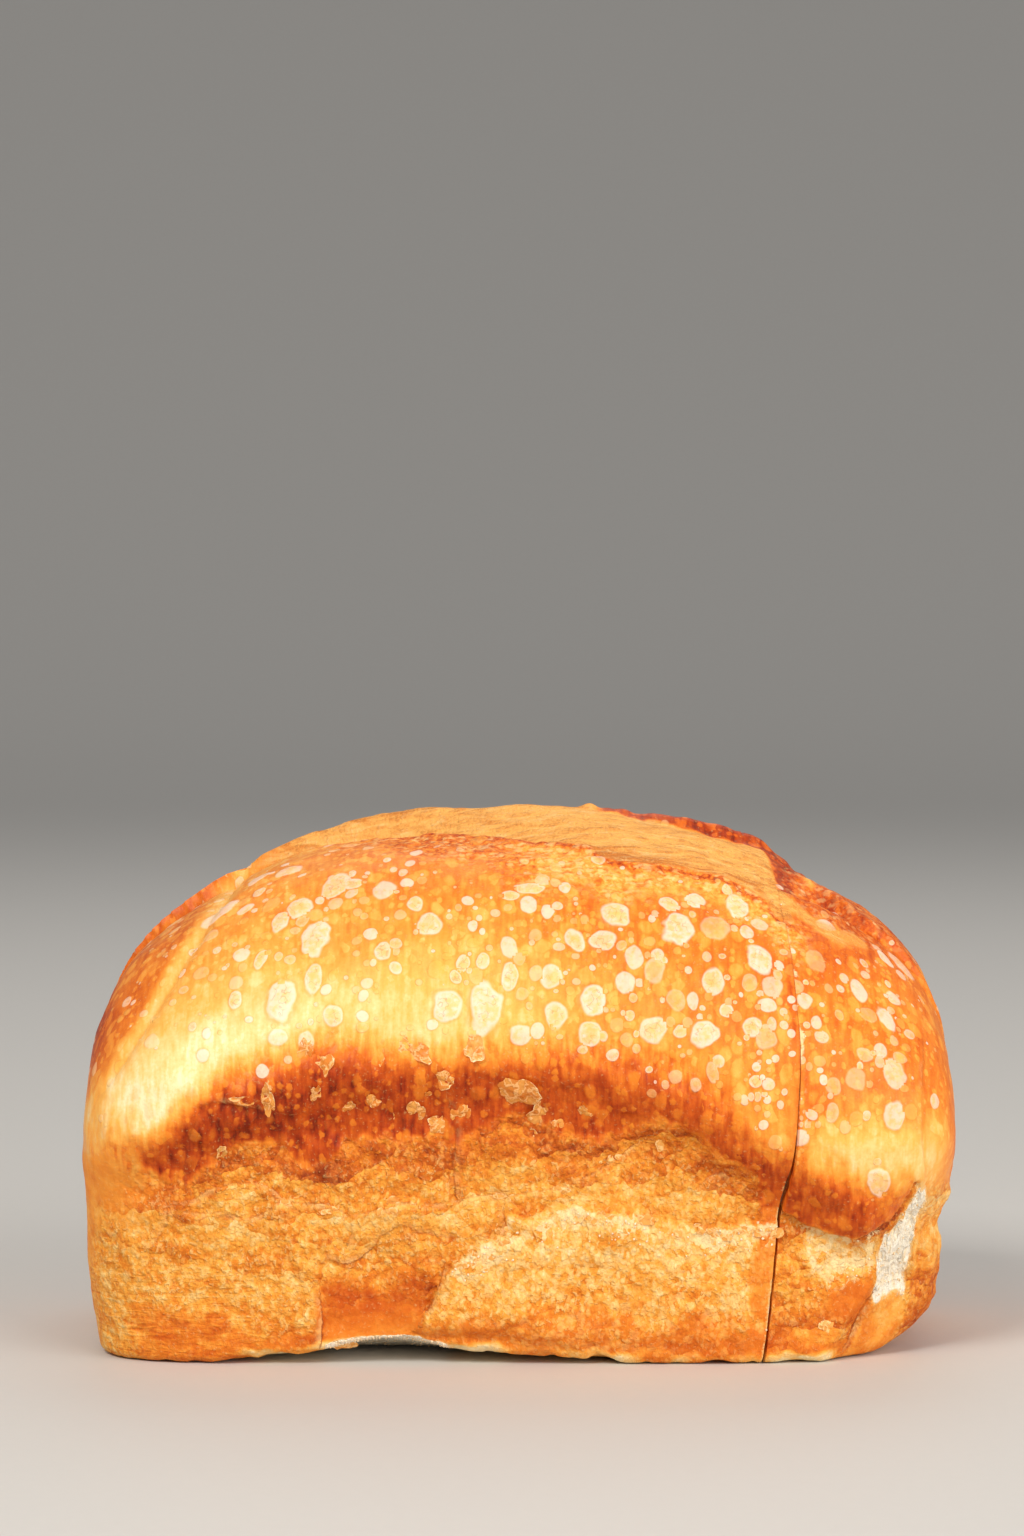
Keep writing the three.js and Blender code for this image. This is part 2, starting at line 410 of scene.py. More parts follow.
@dataclass(frozen=True)
class Line:
    """A crack, wrinkle or torn edge, drawn on the front in x and z.

    The side on the left of its run is raised by the lift and paler by the pale share, or the right side
    where these are below 0.
    """

    path: Path
    depth: float
    width: float
    pale: float = 0.0
    lift: float = 0.0

    def distance(self, x: Array, z: Array) -> Array:
        """Distance to the line, above 0 on its left: the least of the distances to its straight runs.

        Where two runs are as near, at a corner, the side is read from the one farther off to the side.

        Args:
            x: places along the loaf.
            z: places up it.

        Returns:
            The distances.
        """
        best = np.full(x.shape, 1e9)
        sure = np.zeros(x.shape)
        for (x0, z0), (x1, z1) in zip(self.path, self.path[1:]):
            run = np.array([x1 - x0, z1 - z0])
            share = np.clip(((x - x0) * run[0] + (z - z0) * run[1]) / (run @ run), 0, 1)
            away = np.hypot(x - x0 - share * run[0], z - z0 - share * run[1])
            left = ((z - z0) * run[0] - (x - x0) * run[1]) / np.hypot(*run)
            gain = np.abs(best) - away
            nearer = (gain > 1e-6) | ((gain > -1e-6) & (np.abs(left) > sure))
            best = np.where(nearer, np.where(left < 0, -away, away), best)
            sure = np.where(nearer, np.abs(left), sure)
        return best


LINES = (
    Line(((-15.4, 58), (-13.8, 52), (-14.6, 45), (-13.6, 37)), 0.8, 0.5, 0.3, 0.3),
    Line(
        (
            (-77.6, 36.4), (-71.9, 36.4), (-68.6, 38.9), (-61.9, 40.7), (-57, 40.7), (-53.3, 38.9),
            (-51.4, 36.4),
        ),
        0.45, 0.5, -0.4, -0.7,
    ),
    Line(
        (
            (-51.4, 36.4), (-46.7, 36.2), (-41.9, 36.4), (-38, 34.1), (-30.5, 35), (-26.2, 36.4),
        ),
        0.7, 0.5, -0.8, -0.9,
    ),
    Line(
        (
            (-76, 34.6), (-70, 33.6), (-64.8, 34.1), (-61, 32.2), (-57.1, 33.6), (-54.3, 35),
        ),
        0.6, 0.7, -0.5, -0.7,
    ),
    Line(
        (
            (-26.2, 36.4), (-14, 36.8), (-9.9, 37.8), (-3.6, 37.8), (2.1, 38.8), (8.3, 39.4),
        ),
        0.6, 0.45, -0.5, -0.6,
    ),
    Line(((-36.9, 34), (-36.4, 30), (-37.5, 27.5)), 0.6, 0.5, 0.4, 0.4),
    Line(
        (
            (-46.7, 21.2), (-41.9, 23.6), (-38.6, 22.7), (-35.2, 23.6), (-31.4, 26.9), (-30.5, 28.9),
            (-26.2, 31.7),
        ),
        0.9, 0.6, 0.7, 0.9,
    ),
    Line(((-25.7, 31.7), (-21, 29.8), (-13, 28.8)), 0.5, 0.4, 0.3, 0.4),
    Line(((-80.5, 26.4), (-77.6, 31.2), (-77.4, 35.5)), 0.5, 0.6, 0.4, 0.4),
    Line(((-44, 15.5), (-43.4, 9), (-43.8, 1.5)), 1.0, 0.5, -0.5, -1.2),
    Line(((-68.6, 58.6), (-65.9, 59.3), (-61, 58.1), (-57, 57.6)), 1.8, 0.8, 0.5, 1.0),
    Line(((-68.6, 58.6), (-71.4, 53.2), (-73, 48), (-73.6, 41)), 0.7, 1.0, 0.05, 0.4),
    Line(((78.6, 15), (76.5, 12.1), (74.9, 8), (74.1, 6), (72.9, 3)), 1.3, 0.7, 0.7, 0.6),
    Line(((88.4, 66), (87.4, 58), (87, 51), (88.6, 42)), 0.25, 0.8, -0.4, -0.7),
    Line(((14.4, 42.1), (17.8, 43.8), (21.1, 46.1), (25, 49)), 0.8, 0.5, -0.4, -0.6),
    Line(((38, 38.5), (41, 42), (45, 43.4), (49, 40.6)), 0.5, 0.6, -0.4, -0.6),
    Line(((-3, 37.6), (-3.6, 34), (-2.8, 31)), 0.6, 0.5, -0.3, -0.3),
    Line(((-23, 30.5), (-24.4, 27.5), (-22.8, 25)), 0.6, 0.5, 0.3, 0.3),
    Line(((-19.6, 12.5), (-18, 16), (-17, 19), (-16.4, 21.5)), 1.8, 0.9, -0.6, -0.6),
)
PLATE = Line(
    (
        (-19.6, 12), (-17, 18), (-15.6, 19.4), (-14.6, 21.8), (-11.7, 24.7), (-7.5, 27.1), (-2.9, 29.5),
        (-2.7, 33.5), (4.9, 32.8), (10.6, 35.7), (13.5, 36.1), (17.3, 34.7), (24.9, 34.2), (28.7, 32.3),
        (37.3, 32.3), (39.7, 30.2), (43.9, 30), (49.7, 31.1), (60, 31.8),
    ),
    0.8,
    0.6,
)


@dataclass(frozen=True)
class Blister:
    """A small bubble under the skin: its place on the front, half width, half height and paleness."""

    x: float
    z: float
    wide: float
    high: float
    tone: float


# Marks read by eye in the photo, which a helper script turned into places and sizes on the solids
BLISTERS = tuple(
    Blister(*row)
    for row in (
        (-59, 105, 2.7, 3.4, 0.7), (-52, 107, 2.8, 3.2, 0.6), (-67, 98, 4.0, 4.7, 0.7),
        (-61, 99, 1.5, 2.3, 0.7), (-49, 100, 3.0, 3.1, 0.9), (-53, 97, 2.1, 3.0, 0.9),
        (-45, 94, 3.4, 4.4, 1.0), (-41, 105, 3.0, 4.4, 0.9), (-37, 105, 2.5, 1.9, 0.9),
        (-30, 104, 2.7, 3.5, 0.7), (-25, 105, 1.6, 1.8, 0.8), (-23, 101, 1.8, 2.2, 0.9),
        (-20, 97, 2.7, 3.2, 0.9), (-33, 95, 1.5, 1.8, 0.8), (-30, 91, 2.0, 2.6, 0.9),
        (-27, 88, 1.5, 1.7, 0.9), (-61, 90, 2.1, 2.0, 0.8), (-57, 89, 1.4, 2.5, 0.9),
        (-75, 86, 1.1, 1.3, 0.8), (-45, 86, 1.8, 4.2, 0.9), (-52, 81, 3.3, 5.5, 1.0),
        (-62, 81, 1.6, 2.3, 0.9), (-68, 74, 1.1, 1.4, 0.8), (-41, 78, 2.0, 2.2, 0.9),
        (-42, 83, 1.3, 1.4, 0.8), (-34, 78, 1.3, 1.4, 0.8), (-34, 82, 1.1, 1.4, 0.7),
        (-16, 80, 3.3, 3.4, 1.0), (-7, 80, 3.9, 5.9, 1.0), (-2, 86, 1.7, 3.4, 1.0), (-8, 89, 1.5, 2.2, 0.9),
        (-12, 89, 1.5, 2.1, 0.9), (-14, 86, 1.3, 1.6, 0.9), (-2, 92, 2.0, 2.6, 0.7),
        (-10, 97, 1.1, 1.5, 0.8), (-2, 103, 2.0, 1.6, 0.9), (2, 101, 1.8, 2.3, 0.8),
        (2, 104, 2.9, 1.8, 0.9), (-11, 102, 1.3, 1.5, 0.8), (-19, 76, 1.3, 1.3, 0.8),
        (-53, 73, 2.2, 1.8, 0.7), (-46, 73, 2.0, 2.4, 0.7), (0, 74, 2.4, 2.4, 0.8), (6, 100, 1.5, 1.9, 0.8),
        (21, 99, 3.5, 3.2, 0.9), (33, 101, 2.2, 2.2, 0.9), (39, 102, 2.3, 2.5, 1.0),
        (35, 96, 3.8, 4.5, 1.0), (48, 100, 2.7, 3.5, 1.0), (50, 95, 1.6, 2.1, 0.8),
        (43, 96, 3.4, 3.8, 0.45), (12, 94, 2.2, 3.1, 0.9), (18, 94, 2.9, 2.6, 0.9), (25, 90, 2.0, 2.8, 0.7),
        (30, 87, 2.4, 3.7, 0.5), (23, 85, 2.0, 2.6, 0.8), (42, 85, 2.8, 3.2, 0.9), (53, 89, 2.9, 3.9, 1.0),
        (57, 88, 1.1, 1.4, 0.8), (7, 86, 2.4, 2.7, 0.9), (16, 81, 3.1, 3.7, 1.0), (15, 74, 2.6, 2.7, 0.9),
        (8, 78, 2.6, 3.2, 0.9), (34, 81, 2.0, 2.5, 0.45), (38, 81, 1.3, 1.9, 0.7), (45, 79, 1.5, 1.6, 0.9),
        (54, 80, 2.0, 1.7, 0.8), (51, 76, 2.2, 2.6, 0.9), (40, 74, 3.1, 3.6, 1.0), (35, 75, 1.5, 1.6, 0.9),
        (29, 75, 3.1, 2.7, 0.9), (54, 73, 2.2, 3.1, 0.5), (55, 76, 1.1, 1.8, 0.6), (4, 75, 1.7, 1.8, 0.8),
        (21, 76, 1.5, 1.8, 0.3), (51, 64, 1.5, 1.5, 0.9), (54, 63, 1.5, 1.5, 0.8), (56, 69, 0.9, 0.9, 0.8),
        (42, 66, 1.5, 2.2, 0.5), (34, 65, 1.5, 1.7, 0.4), (54, 60, 0.9, 0.9, 0.8), (53, 55, 1.1, 1.1, 0.8),
        (58, 76, 1.1, 1.1, 0.7), (75, 82, 2.1, 3.4, 0.8), (83, 80, 1.9, 2.3, 0.7), (81, 76, 2.2, 3.7, 0.8),
        (65, 76, 1.3, 1.8, 0.7), (66, 73, 1.6, 1.6, 0.6), (79, 70, 1.7, 2.0, 0.7), (82, 65, 2.5, 3.5, 0.6),
        (74, 67, 0.9, 1.1, 0.9), (68, 63, 1.8, 2.0, 0.45), (63, 81, 1.9, 2.2, 0.7),
        (65, 89, 2.5, 3.6, 0.35), (82, 88, 1.6, 2.9, 0.8), (86, 86, 2.5, 4.5, 0.6), (86, 73, 1.5, 1.4, 0.6),
        (81, 56, 2.3, 3.3, 0.7), (68, 57, 1.3, 2.4, 0.5), (63, 57, 1.3, 1.3, 0.7), (78, 42, 2.7, 3.2, 0.9),
        (61, 52, 2.4, 1.8, 0.8), (65, 68, 1.3, 1.3, 0.3),
    )
)


@dataclass
class Zones:
    """What the crust is like at each point: shares from 0 to 1, and the relief in millimetres."""

    bake: Array
    shred: Array
    crumb: Array
    bloom: Array
    gloss: Array
    streak: Array
    torn: Array
    groove: Array
    crinkle: Array
    plate: Array
    ply: Array
    way: Array
    dark: Array
    pale: Array
    relief: Array
    spots: Array

    def tint(self, bake: float | Array, share: Array) -> None:
        """Moves the bake by a share of the way to another."""
        self.bake = blend(self.bake, bake, share)


class Places:
    """Points of the plain crust, with their ways to the fold, the score and the cut.

    The arrays declared here are filled in as the zones are laid.
    """

    low_edge: Array
    band: Array
    below: Array
    plate: Array
    base_strip: Array
    ear: Array
    over: Array
    lobe: Array
    tear: Array

    def __init__(self, form: LoafForm, p: Array, grain: Grain) -> None:
        """Measures the points.

        Args:
            form: the loaf's form.
            p: the points.
            grain: noise that frays the edges of the zones.
        """
        self.p = p
        self.x, self.y, self.z = np.moveaxis(p, -1, 0)
        self.front = ease(5, -5, self.y)
        self.is_front = self.y < 0
        self.to_cut = form.cut(self.y, self.z) - self.x
        self.heel = self.to_cut < 0
        self.above = self.z - form.fold(self.x, self.y)
        self.share, lip, self.width = form.score.at(self.x)
        self.across = self.y - lip
        self.past = self.across - self.width
        self.on_top = ease(82, 96, self.z)
        self.cove = form.cove(self.x, self.y)
        self.ragged = 1.8 * grain.at(p, (7, 25, 25)) + grain.at(p, (2.2, 12, 9))
        self.bitten = 1.5 * grain.at(p, 4.5) + 1.2 * grain.at(p, 2.0)
        self.uneven = np.clip(0.6 + 0.9 * grain.at(p, 6), 0.1, 1)
        self.crease = self.x - form.crease_at + form.crease_slope * (form.crease_top - self.z)
        self.upper_left = ease(50, 75, self.z) * ease(40, 10, self.y)


@dataclass(frozen=True)
class Baking:
    """Where the crust is pale or dark, smooth or torn, and how its surface rises and falls.

    The dark band under the fold lies between two lines drawn on the front in x and z, and the tear at the
    heel's corner between two more.
    """

    form: LoafForm
    edge_grain: Grain = Grain(11)
    lump_grain: Grain = Grain(23)
    shred_grain: Grain = Grain(37)
    band_top: Path = (
        (-92, 40), (-83, 46), (-76, 52.5), (-70, 58), (-64, 63), (-57, 65.5), (-49.5, 68.5), (-42, 70),
        (-19.5, 67), (-13.5, 67), (-7, 69), (8, 69.5), (16, 69), (21, 69), (26, 68.5), (30, 67.5), (36, 64),
        (41, 60.5), (46, 56.5), (49, 52), (52.5, 48), (58.5, 45.5), (64, 43.5), (68, 42), (71, 40),
        (74.5, 37), (78, 35), (80.5, 34.5), (83, 36.5), (85.5, 38), (87, 30), (98, 26),
    )
    band_low: Path = (
        (-92, 46), (-84, 44), (-78, 41), (-73, 40.5), (-67.5, 45), (-62, 49.5), (-57, 49.5), (-51.5, 48),
        (-45, 44.5), (-42, 45), (-38.5, 49.5), (-34, 48), (-29.5, 50.5), (-24.5, 49.5), (-19.5, 53),
        (-16.5, 53.5), (-15.5, 49.5), (-12, 50), (-7, 52), (-3, 55), (0.5, 56.5), (3, 55), (7.5, 51.5),
        (14.5, 51), (23, 52.5), (31, 53.5), (36, 53), (41, 49.5), (46, 46.5), (50, 44.5), (52.3, 43),
        (53, 34), (57.8, 35), (61, 33), (63.5, 31.5), (66.5, 30.5), (69.5, 29.5), (73, 28.5), (75.5, 29),
        (78.5, 31), (81, 33), (83, 35.5), (84.5, 38.5), (86, 42), (87.5, 40), (89, 12), (98, 8),
    )
    lip_shift: Path = (
        (9, 0), (15.7, 0.8), (18.1, 3.7), (25.2, 3.9), (36, 1.5), (44.9, 1.6), (50.4, 2.9), (55.2, 4.8),
        (57.1, 8.8),
    )
    tail: Line = Line(((57, -27), (60, -27.3), (64, -28), (66.5, -29.4), (70, -30), (76, -26)), 0.0, 0.0)
    tear_left: Path = ((79, 14), (79.2, 18), (78.8, 24), (81, 28), (84.2, 31.7), (85.8, 36.6), (87.3, 41))
    tear_right: Path = ((88, 14), (87.5, 18), (87.5, 24), (88.4, 28), (89.2, 31.7), (89.6, 36.6), (88.3, 41))

    def tear_valley(self, p: Array) -> Array:
        """Depth of the hollow at the heel's torn corner: a parabola that leans right and fades upwards.

        Args:
            p: points of the plain crust.

        Returns:
            The depths.
        """
        form = self.form
        x, y, z = np.moveaxis(p, -1, 0)
        away = x - (form.tear_at + form.tear_slope * z)
        half = form.tear_half + form.tear_spread * ease(25, 0, z)
        across = np.maximum(1 - (away / half) ** 2, 0)
        depth = form.tear_depth * across * ease(form.tear_top, 0, z)
        return np.where(y < 0, depth * np.minimum(form.fullness(p), 1), 0)

    def read(self, p: Array) -> Zones:
        """Reads the zones one over the other, from the smooth skin to the cracks.

        Args:
            p: points of the plain crust.

        Returns:
            The zones at those points.
        """
        at = Places(self.form, p, self.edge_grain)
        out = Zones(*(np.zeros(at.x.shape) for _ in fields(Zones)))
        turn = 30 * ease(84, 97, at.x)
        side = ease(8 - turn, -8 - 1.5 * turn, at.y)
        fold = at.z - at.above
        top = blend(fold + 7, np.interp(at.x, *np.transpose(self.band_top)), side)
        low = blend(fold - 8, np.interp(at.x, *np.transpose(self.band_low)), side)
        fray = np.where(at.heel, 0.35, 1) * (0.4 * at.ragged + at.bitten)
        at.low_edge = at.z - low + fray
        at.band = ease(top + 8, top - 5, at.z + 0.9 * at.ragged) * ease(-1.2, 1.8, at.low_edge)
        at.below = ease(1, -1, at.low_edge)
        self.lay_skin(at, side, out)
        self.lay_wall(at, out)
        self.lay_score(at, out)
        self.lay_heel(at, out)
        self.lay_cracks(at, out)
        self.lay_relief(at, out)
        return out

    def lay_skin(self, at: Places, side: Array, out: Zones) -> None:
        """Smooth skin: pale low on the left, golden higher and to the right, dark in the band below.

        Args:
            at: the points.
            side: how far each belongs to the front.
            out: their zones.
        """
        lift = ease(13, 45, at.above)
        # Low on the left the skin is pale, partly its own colour and partly a painted highlight on the
        # shoulder.
        pale = 0.09 + 0.1 * ease(-60, -25, at.x)
        skin = blend(pale + 0.4 * lift, 0.515 + 0.12 * lift, ease(-22, 30, at.x))
        skin = blend(0.48, skin, at.front)
        heel_pale = ridge(at.z - 47, 7.5) * ease(58, 68, at.x) * ease(97, 90, at.x) * at.front
        heel_top = 0.26 * ease(82, 96, at.z) * ease(58, 66, at.x)
        heel_skin = blend(0.5, 0.625 - 0.43 * heel_pale + 0.6 * heel_top, ease(35, -10, at.y))
        skin = np.where(at.heel, heel_skin, skin)
        skin = blend(skin, 0.68, ease(0, -4, at.crease) * at.upper_left)
        skin = blend(skin, 0.28, ridge(at.crease + 1, 2) * at.upper_left)
        # A darker strip just left of the cut up high: partly the crust's own red-brown and partly painted
        # shade of the cut's valley.
        skin = skin + 0.13 * ease(3.4, 0.8, np.abs(at.to_cut)) * ease(58, 74, at.z) * ease(0, 1, at.to_cut)
        out.bake = blend(skin, blend(0.48, 0.42, at.front), ease(4, -8, at.above))
        # Darker towards the left end's silhouette: painted shade where the end turns away from the light.
        out.bake = out.bake + 0.3 * ease(-89, -97, at.x) * ease(40, 60, at.z) * at.front
        deep = np.where(at.heel, 0.8, blend(0.9, 0.82, ease(-60, 25, at.x)))
        corner = ease(-80, -88, at.x + 0.5 * at.ragged) * ease(60, 46, at.z + at.ragged) * at.front
        out.tint(blend(0.36, 0.5, ease(54, 44, at.z)), corner)
        out.tint(blend(0.64, deep, side), at.band)
        strands = 0.6 * ease(-74, -82, at.x) * ease(70, 50, at.z)
        out.streak = np.clip(4 * at.band * (1 - at.band) + 0.8 * at.band + strands, 0, 1)

    def lay_wall(self, at: Places, out: Zones) -> None:
        """Torn flaky wall below the band, its paler plate, the strips at the base and beside the cut.

        Args:
            at: the points.
            out: their zones.
        """
        beside_cut = np.where(at.heel, 0, ease(6, 3, at.to_cut + 0.6 * at.ragged + 1.2 * at.bitten))
        blotch = 4 * self.lump_grain.at(at.p, 9) + 2 * at.bitten
        base_strip = ease(15, 3, at.z + blotch) * at.front * ease(-92, -80, at.x)
        upper_end = ease(-93, -74, at.x + 2 * at.ragged)
        left_end = blend(upper_end, ease(-99, -91, at.x), ease(38, 27, at.z + 2 * at.ragged))
        shred = at.below * left_end * blend(0.55, 1, at.front)
        shred = shred * (1 - 0.5 * base_strip) * (1 - 0.6 * beside_cut) * ease(97, 91, at.x)
        under = ease(-14, -2, at.low_edge)
        out.tint(np.where(at.heel, 0.57, 0.46 + 0.25 * under), shred)
        edge = -PLATE.distance(at.x + 0.3 * at.ragged, at.z + 0.4 * at.ragged)
        plate_edge = np.where(at.is_front & ~at.heel, edge, -99)
        at.plate = ease(-0.4, 0.4, plate_edge)
        out.tint(0.4 - 0.12 * ease(14, 31, at.z), at.plate * shred)
        out.tint(0.66, beside_cut * at.below * (1 - 0.4 * at.plate))
        out.tint(np.where(at.heel, 0.72, 0.7 - 0.08 * at.plate), base_strip)
        bare = ease(-45, -43, at.x + 0.5 * at.bitten) * ease(-15, -24, at.x + at.ragged)
        bare = bare * ease(26, 12, at.z + 2 * at.bitten)
        bare = np.where(at.is_front, bare * (1 - at.plate), 0)
        # The bare patch darkens towards its top, partly its own colour and partly painted shadow of the flaky
        # wall that overhangs it.
        out.tint(blend(0.56, 0.8, ease(3, 15, at.z)), bare)
        shred = shred * (1 - 0.7 * bare)
        out.ply = ease(28, 16, at.z + at.ragged) * ease(-42, -66, at.x + 2 * at.ragged) * at.front
        base_rim = ease(2.8, 1.0, at.z + 0.4 * at.ragged + 0.6 * at.bitten) * at.front * ease(-70, -55, at.x)
        out.tint(0.05, base_rim * at.uneven)
        # Painted shade in the crevice at the foot of the plate's left edge.
        hollow = ridge(at.x + 19, 4) * ridge(at.z - 17, 4) * (1 - at.plate) * at.is_front
        out.bake = out.bake + 0.2 * hollow
        out.shred = shred
        at.base_strip = base_strip
        pale_top = ease(8, 0.5, plate_edge) * at.plate * ease(16, 24, at.z)
        out.torn = pale_top * (0.25 + 0.6 * at.uneven)
        rim = np.where(at.heel, 0, ease(1.1, 0.5, at.to_cut)) * at.front * ease(44, 38, at.z)
        strip = ease(-43.6, -42, at.x) * ease(-13, -18, at.x) * ease(2.3, 1.6, at.z + 0.3 * at.ragged)
        strip = strip * at.front
        out.crumb = np.maximum(0.4 * rim * ease(0.2, 0.5, at.uneven), strip)
        # Painted shade along the top of the hollow under the front edge.
        cove_top_shade = 0.45 * ridge(at.x + 29, 6) * ease(5.2, 3.4, at.z) * (1 - strip)
        # Painted shade of the cut's narrow gap, as a dark line on the loaf's side of it.
        cut_gap_shade = ease(0.75, 0.3, at.to_cut) * ~at.heel * ease(58, 66, at.z) * ease(104, 98, at.z)
        out.groove = np.maximum(cove_top_shade, 0.55 * cut_gap_shade) * at.front

    def lay_score(self, at: Places, out: Zones) -> None:
        """The score: a rough brown lip, the smooth bloom behind it, shaded at its lip, and the dark ear.

        Args:
            at: the points.
            out: their zones.
        """
        run = ease(0.03, 0.12, at.share) * at.on_top
        over = at.across / at.width
        front = at.across + np.interp(at.x, *np.transpose(self.lip_shift))
        ear_run = ease(0.55, 0.6, at.share) * ease(0.95, 0.9, at.share)
        ear_edge = at.past + 3.9 + 0.065 * (at.x - 23) + 1.5 * ease(51, 58, at.x) + 0.3 * at.ragged
        end_left = at.x - 57.6 + 0.105 * (at.y + 0.7) + 0.15 * at.ragged
        end_right = at.x - 63.1 - 0.14 * (at.y + 3.3) + 0.15 * at.ragged
        bloom = ease(0, 0.7, front) * ease(0.5, -0.5, end_left) * run
        to_ear = np.where(ear_run > 0, blend(1, ease(0.5, -0.5, ear_edge), ear_run), 1)
        bloom = bloom * to_ear * ease(0.5, -0.5, at.past)
        tail = ease(3.0, 1.4, np.abs(self.tail.distance(at.x, at.y)) + 0.3 * at.ragged) * ease(80, 88, at.z)
        bloom = np.maximum(bloom, tail * (0.3 + 0.5 * at.uneven))
        ear_end = ease(-0.5, 0.5, end_left) * ease(0.5, -0.5, end_right) * ease(-26, -24, at.y) * at.on_top
        ear_end = ear_end * ease(30, 10, at.y + 3 * at.ragged)
        ear = ease(-0.4, 0.4, ear_edge) * ease(12, 4, at.past) * at.on_top * ear_run
        behind = ease(-2, 1, at.past) * at.on_top
        along_lip = ease(0.1, 0.3, at.share) * ease(0.9, 0.86, at.share) * at.on_top
        right_crown = ease(58, 63, at.x + 0.7 * at.ragged) * ease(-29, -25, at.y) * at.on_top
        right_crown = right_crown * ease(34, 8, at.y + 3 * at.ragged)
        narrow = ease(8, 24, at.x)
        crinkle = ease(blend(-26, -13, narrow), blend(-12, -5, narrow), front + 2 * at.ragged)
        crinkle = crinkle * ease(0.6, 0, front) * along_lip
        out.crinkle = np.maximum(crinkle, 0.5 * right_crown)
        # The lip's dark brown is partly its own darker bake and partly painted shade of the crevice behind
        # it.
        lip = ridge(front + 1.0, 1.3) * along_lip * blend(0.75, 1, ease(0, 18, at.x))
        crisp = blend(0.69, 0.38, ease(-8, 10, at.x))
        out.bake = blend(out.bake, crisp, 0.8 * out.crinkle) + 0.1 * behind * ease(0, 0.2, at.share)
        out.tint(0.79, right_crown)
        out.tint(0.84, 0.85 * lip)
        out.tint(0.92, np.maximum(ear, ear_end))
        bump = ridge(at.x - 67.6, 2.2) * ridge(at.y + 1.5, 4) * at.on_top
        out.tint(0.3, 0.8 * bump)
        # The bloom's bake is its painted shade: darker near the lip and round x 24, plus its own darker-tan
        # edge on the far side to the left.
        shade = 0.25 + 0.4 * ease(0.5, 0, over) + 0.55 * ridge(at.x - 24, 9) * ease(0.5, 0.1, over)
        shade = shade + 0.3 * ease(-5, -1, at.past) * ease(20, 8, at.x)
        shade = blend(shade, 0.3, tail)
        out.bloom = bloom * (1 - ear_end)
        out.tint(np.clip(shade, 0, 1), out.bloom)
        out.gloss = (1 - at.below) * (1 - 0.45 * at.band) * (1 - out.bloom) * (1 - 0.6 * out.crinkle)
        spots = (1 - at.below) * (1 - out.bloom) * (1 - at.band) * (1 - behind) * (1 - ear)
        spots = spots * (0.06 + ease(8, 30, at.above)) * (1 - 0.6 * out.crinkle) * blend(0.6, 1, at.front)
        out.spots = spots
        at.ear = ear
        at.over = over

    def lay_heel(self, at: Places, out: Zones) -> None:
        """Below the heel's flap: cream flakes, a smooth orange patch, the yellow lobe and the white tear.

        Args:
            at: the points.
            out: their zones.
        """
        here = at.heel & at.is_front
        on_end = ease(2, -24, at.y + 2 * at.ragged)
        fray = 0.5 * at.ragged
        flaky = ease(15, 21, at.z + fray + at.bitten) * at.below * ease(61, 66, at.x + fray + at.bitten)
        flaky = np.where(here, flaky * ease(80, 77.5, at.x), 0)
        out.tint(0.27, flaky)
        out.torn = np.maximum(out.torn, 0.6 * flaky)
        sawn = ease(-1.2, -0.5, at.to_cut + 0.3 * at.bitten) * ease(54, 62, at.z) * ease(0.3, 0.8, at.uneven)
        out.torn = np.maximum(out.torn, np.where(here, 0.55 * sawn * ease(104, 99, at.z), 0))
        patch = ease(66, 70, at.x + fray) * ease(79, 77, at.x) * ease(21, 15, at.z + fray + at.bitten)
        patch = np.where(here, patch * ease(8, 11, at.z), 0)
        out.tint(0.65, patch)
        lobe = ease(0.2, 1, at.x - 72.5 - 0.4 * at.z) * ease(16, 13.5, at.z + 0.8 * at.bitten)
        at.lobe = np.where(here, lobe * ease(90, 86, at.x + fray), 0)
        out.tint(0.48 + 0.16 * self.lump_grain.at(at.p, 3.5), at.lobe)
        strip = np.where(here, ease(86, 88, at.x + fray) * ease(42, 36, at.z) * on_end, 0)
        out.tint(0.42 + 0.28 * ease(24, 16, at.z + at.bitten) * ease(87, 91, at.x), strip)
        out.shred = np.maximum(out.shred, 0.8 * strip)
        out.shred = out.shred * (1 - 0.75 * patch) * (1 - 0.5 * at.lobe)
        heights = np.array([z for _, z in self.tear_left])
        left = np.interp(at.z, heights, [x for x, _ in self.tear_left])
        right = np.interp(at.z, heights, [x for x, _ in self.tear_right])
        strands = self.shred_grain.at(at.p, (1.1, 4, 6))
        edge = np.minimum(at.x - left, right - at.x) + 0.25 * at.ragged + 0.35 * at.bitten + 0.8 * strands
        tear = ease(-1.4, 1.0, edge) * ease(12, 15, at.z + at.bitten) * ease(42, 40.5, at.z)
        at.tear = np.where(here, tear, 0)
        out.crumb = np.maximum(out.crumb, at.tear)
        # Under the flap's edge the crust is brown, partly its own colour and partly painted shadow of the
        # flap.
        under = ease(0.4, -0.4, at.low_edge) * ease(-5, -1, at.low_edge) * ease(68, 76, at.x)
        under = under * ease(87, 85, at.x) * (1 - at.tear)
        out.tint(0.8, np.where(here, under, 0))
        # Painted shadow: a dark line right under the flap's edge.
        flap_shadow_line = ridge(at.low_edge + 0.2, 0.5) * ease(87, 85, at.x)
        out.groove = np.where(here, 0.75 * flap_shadow_line, out.groove)

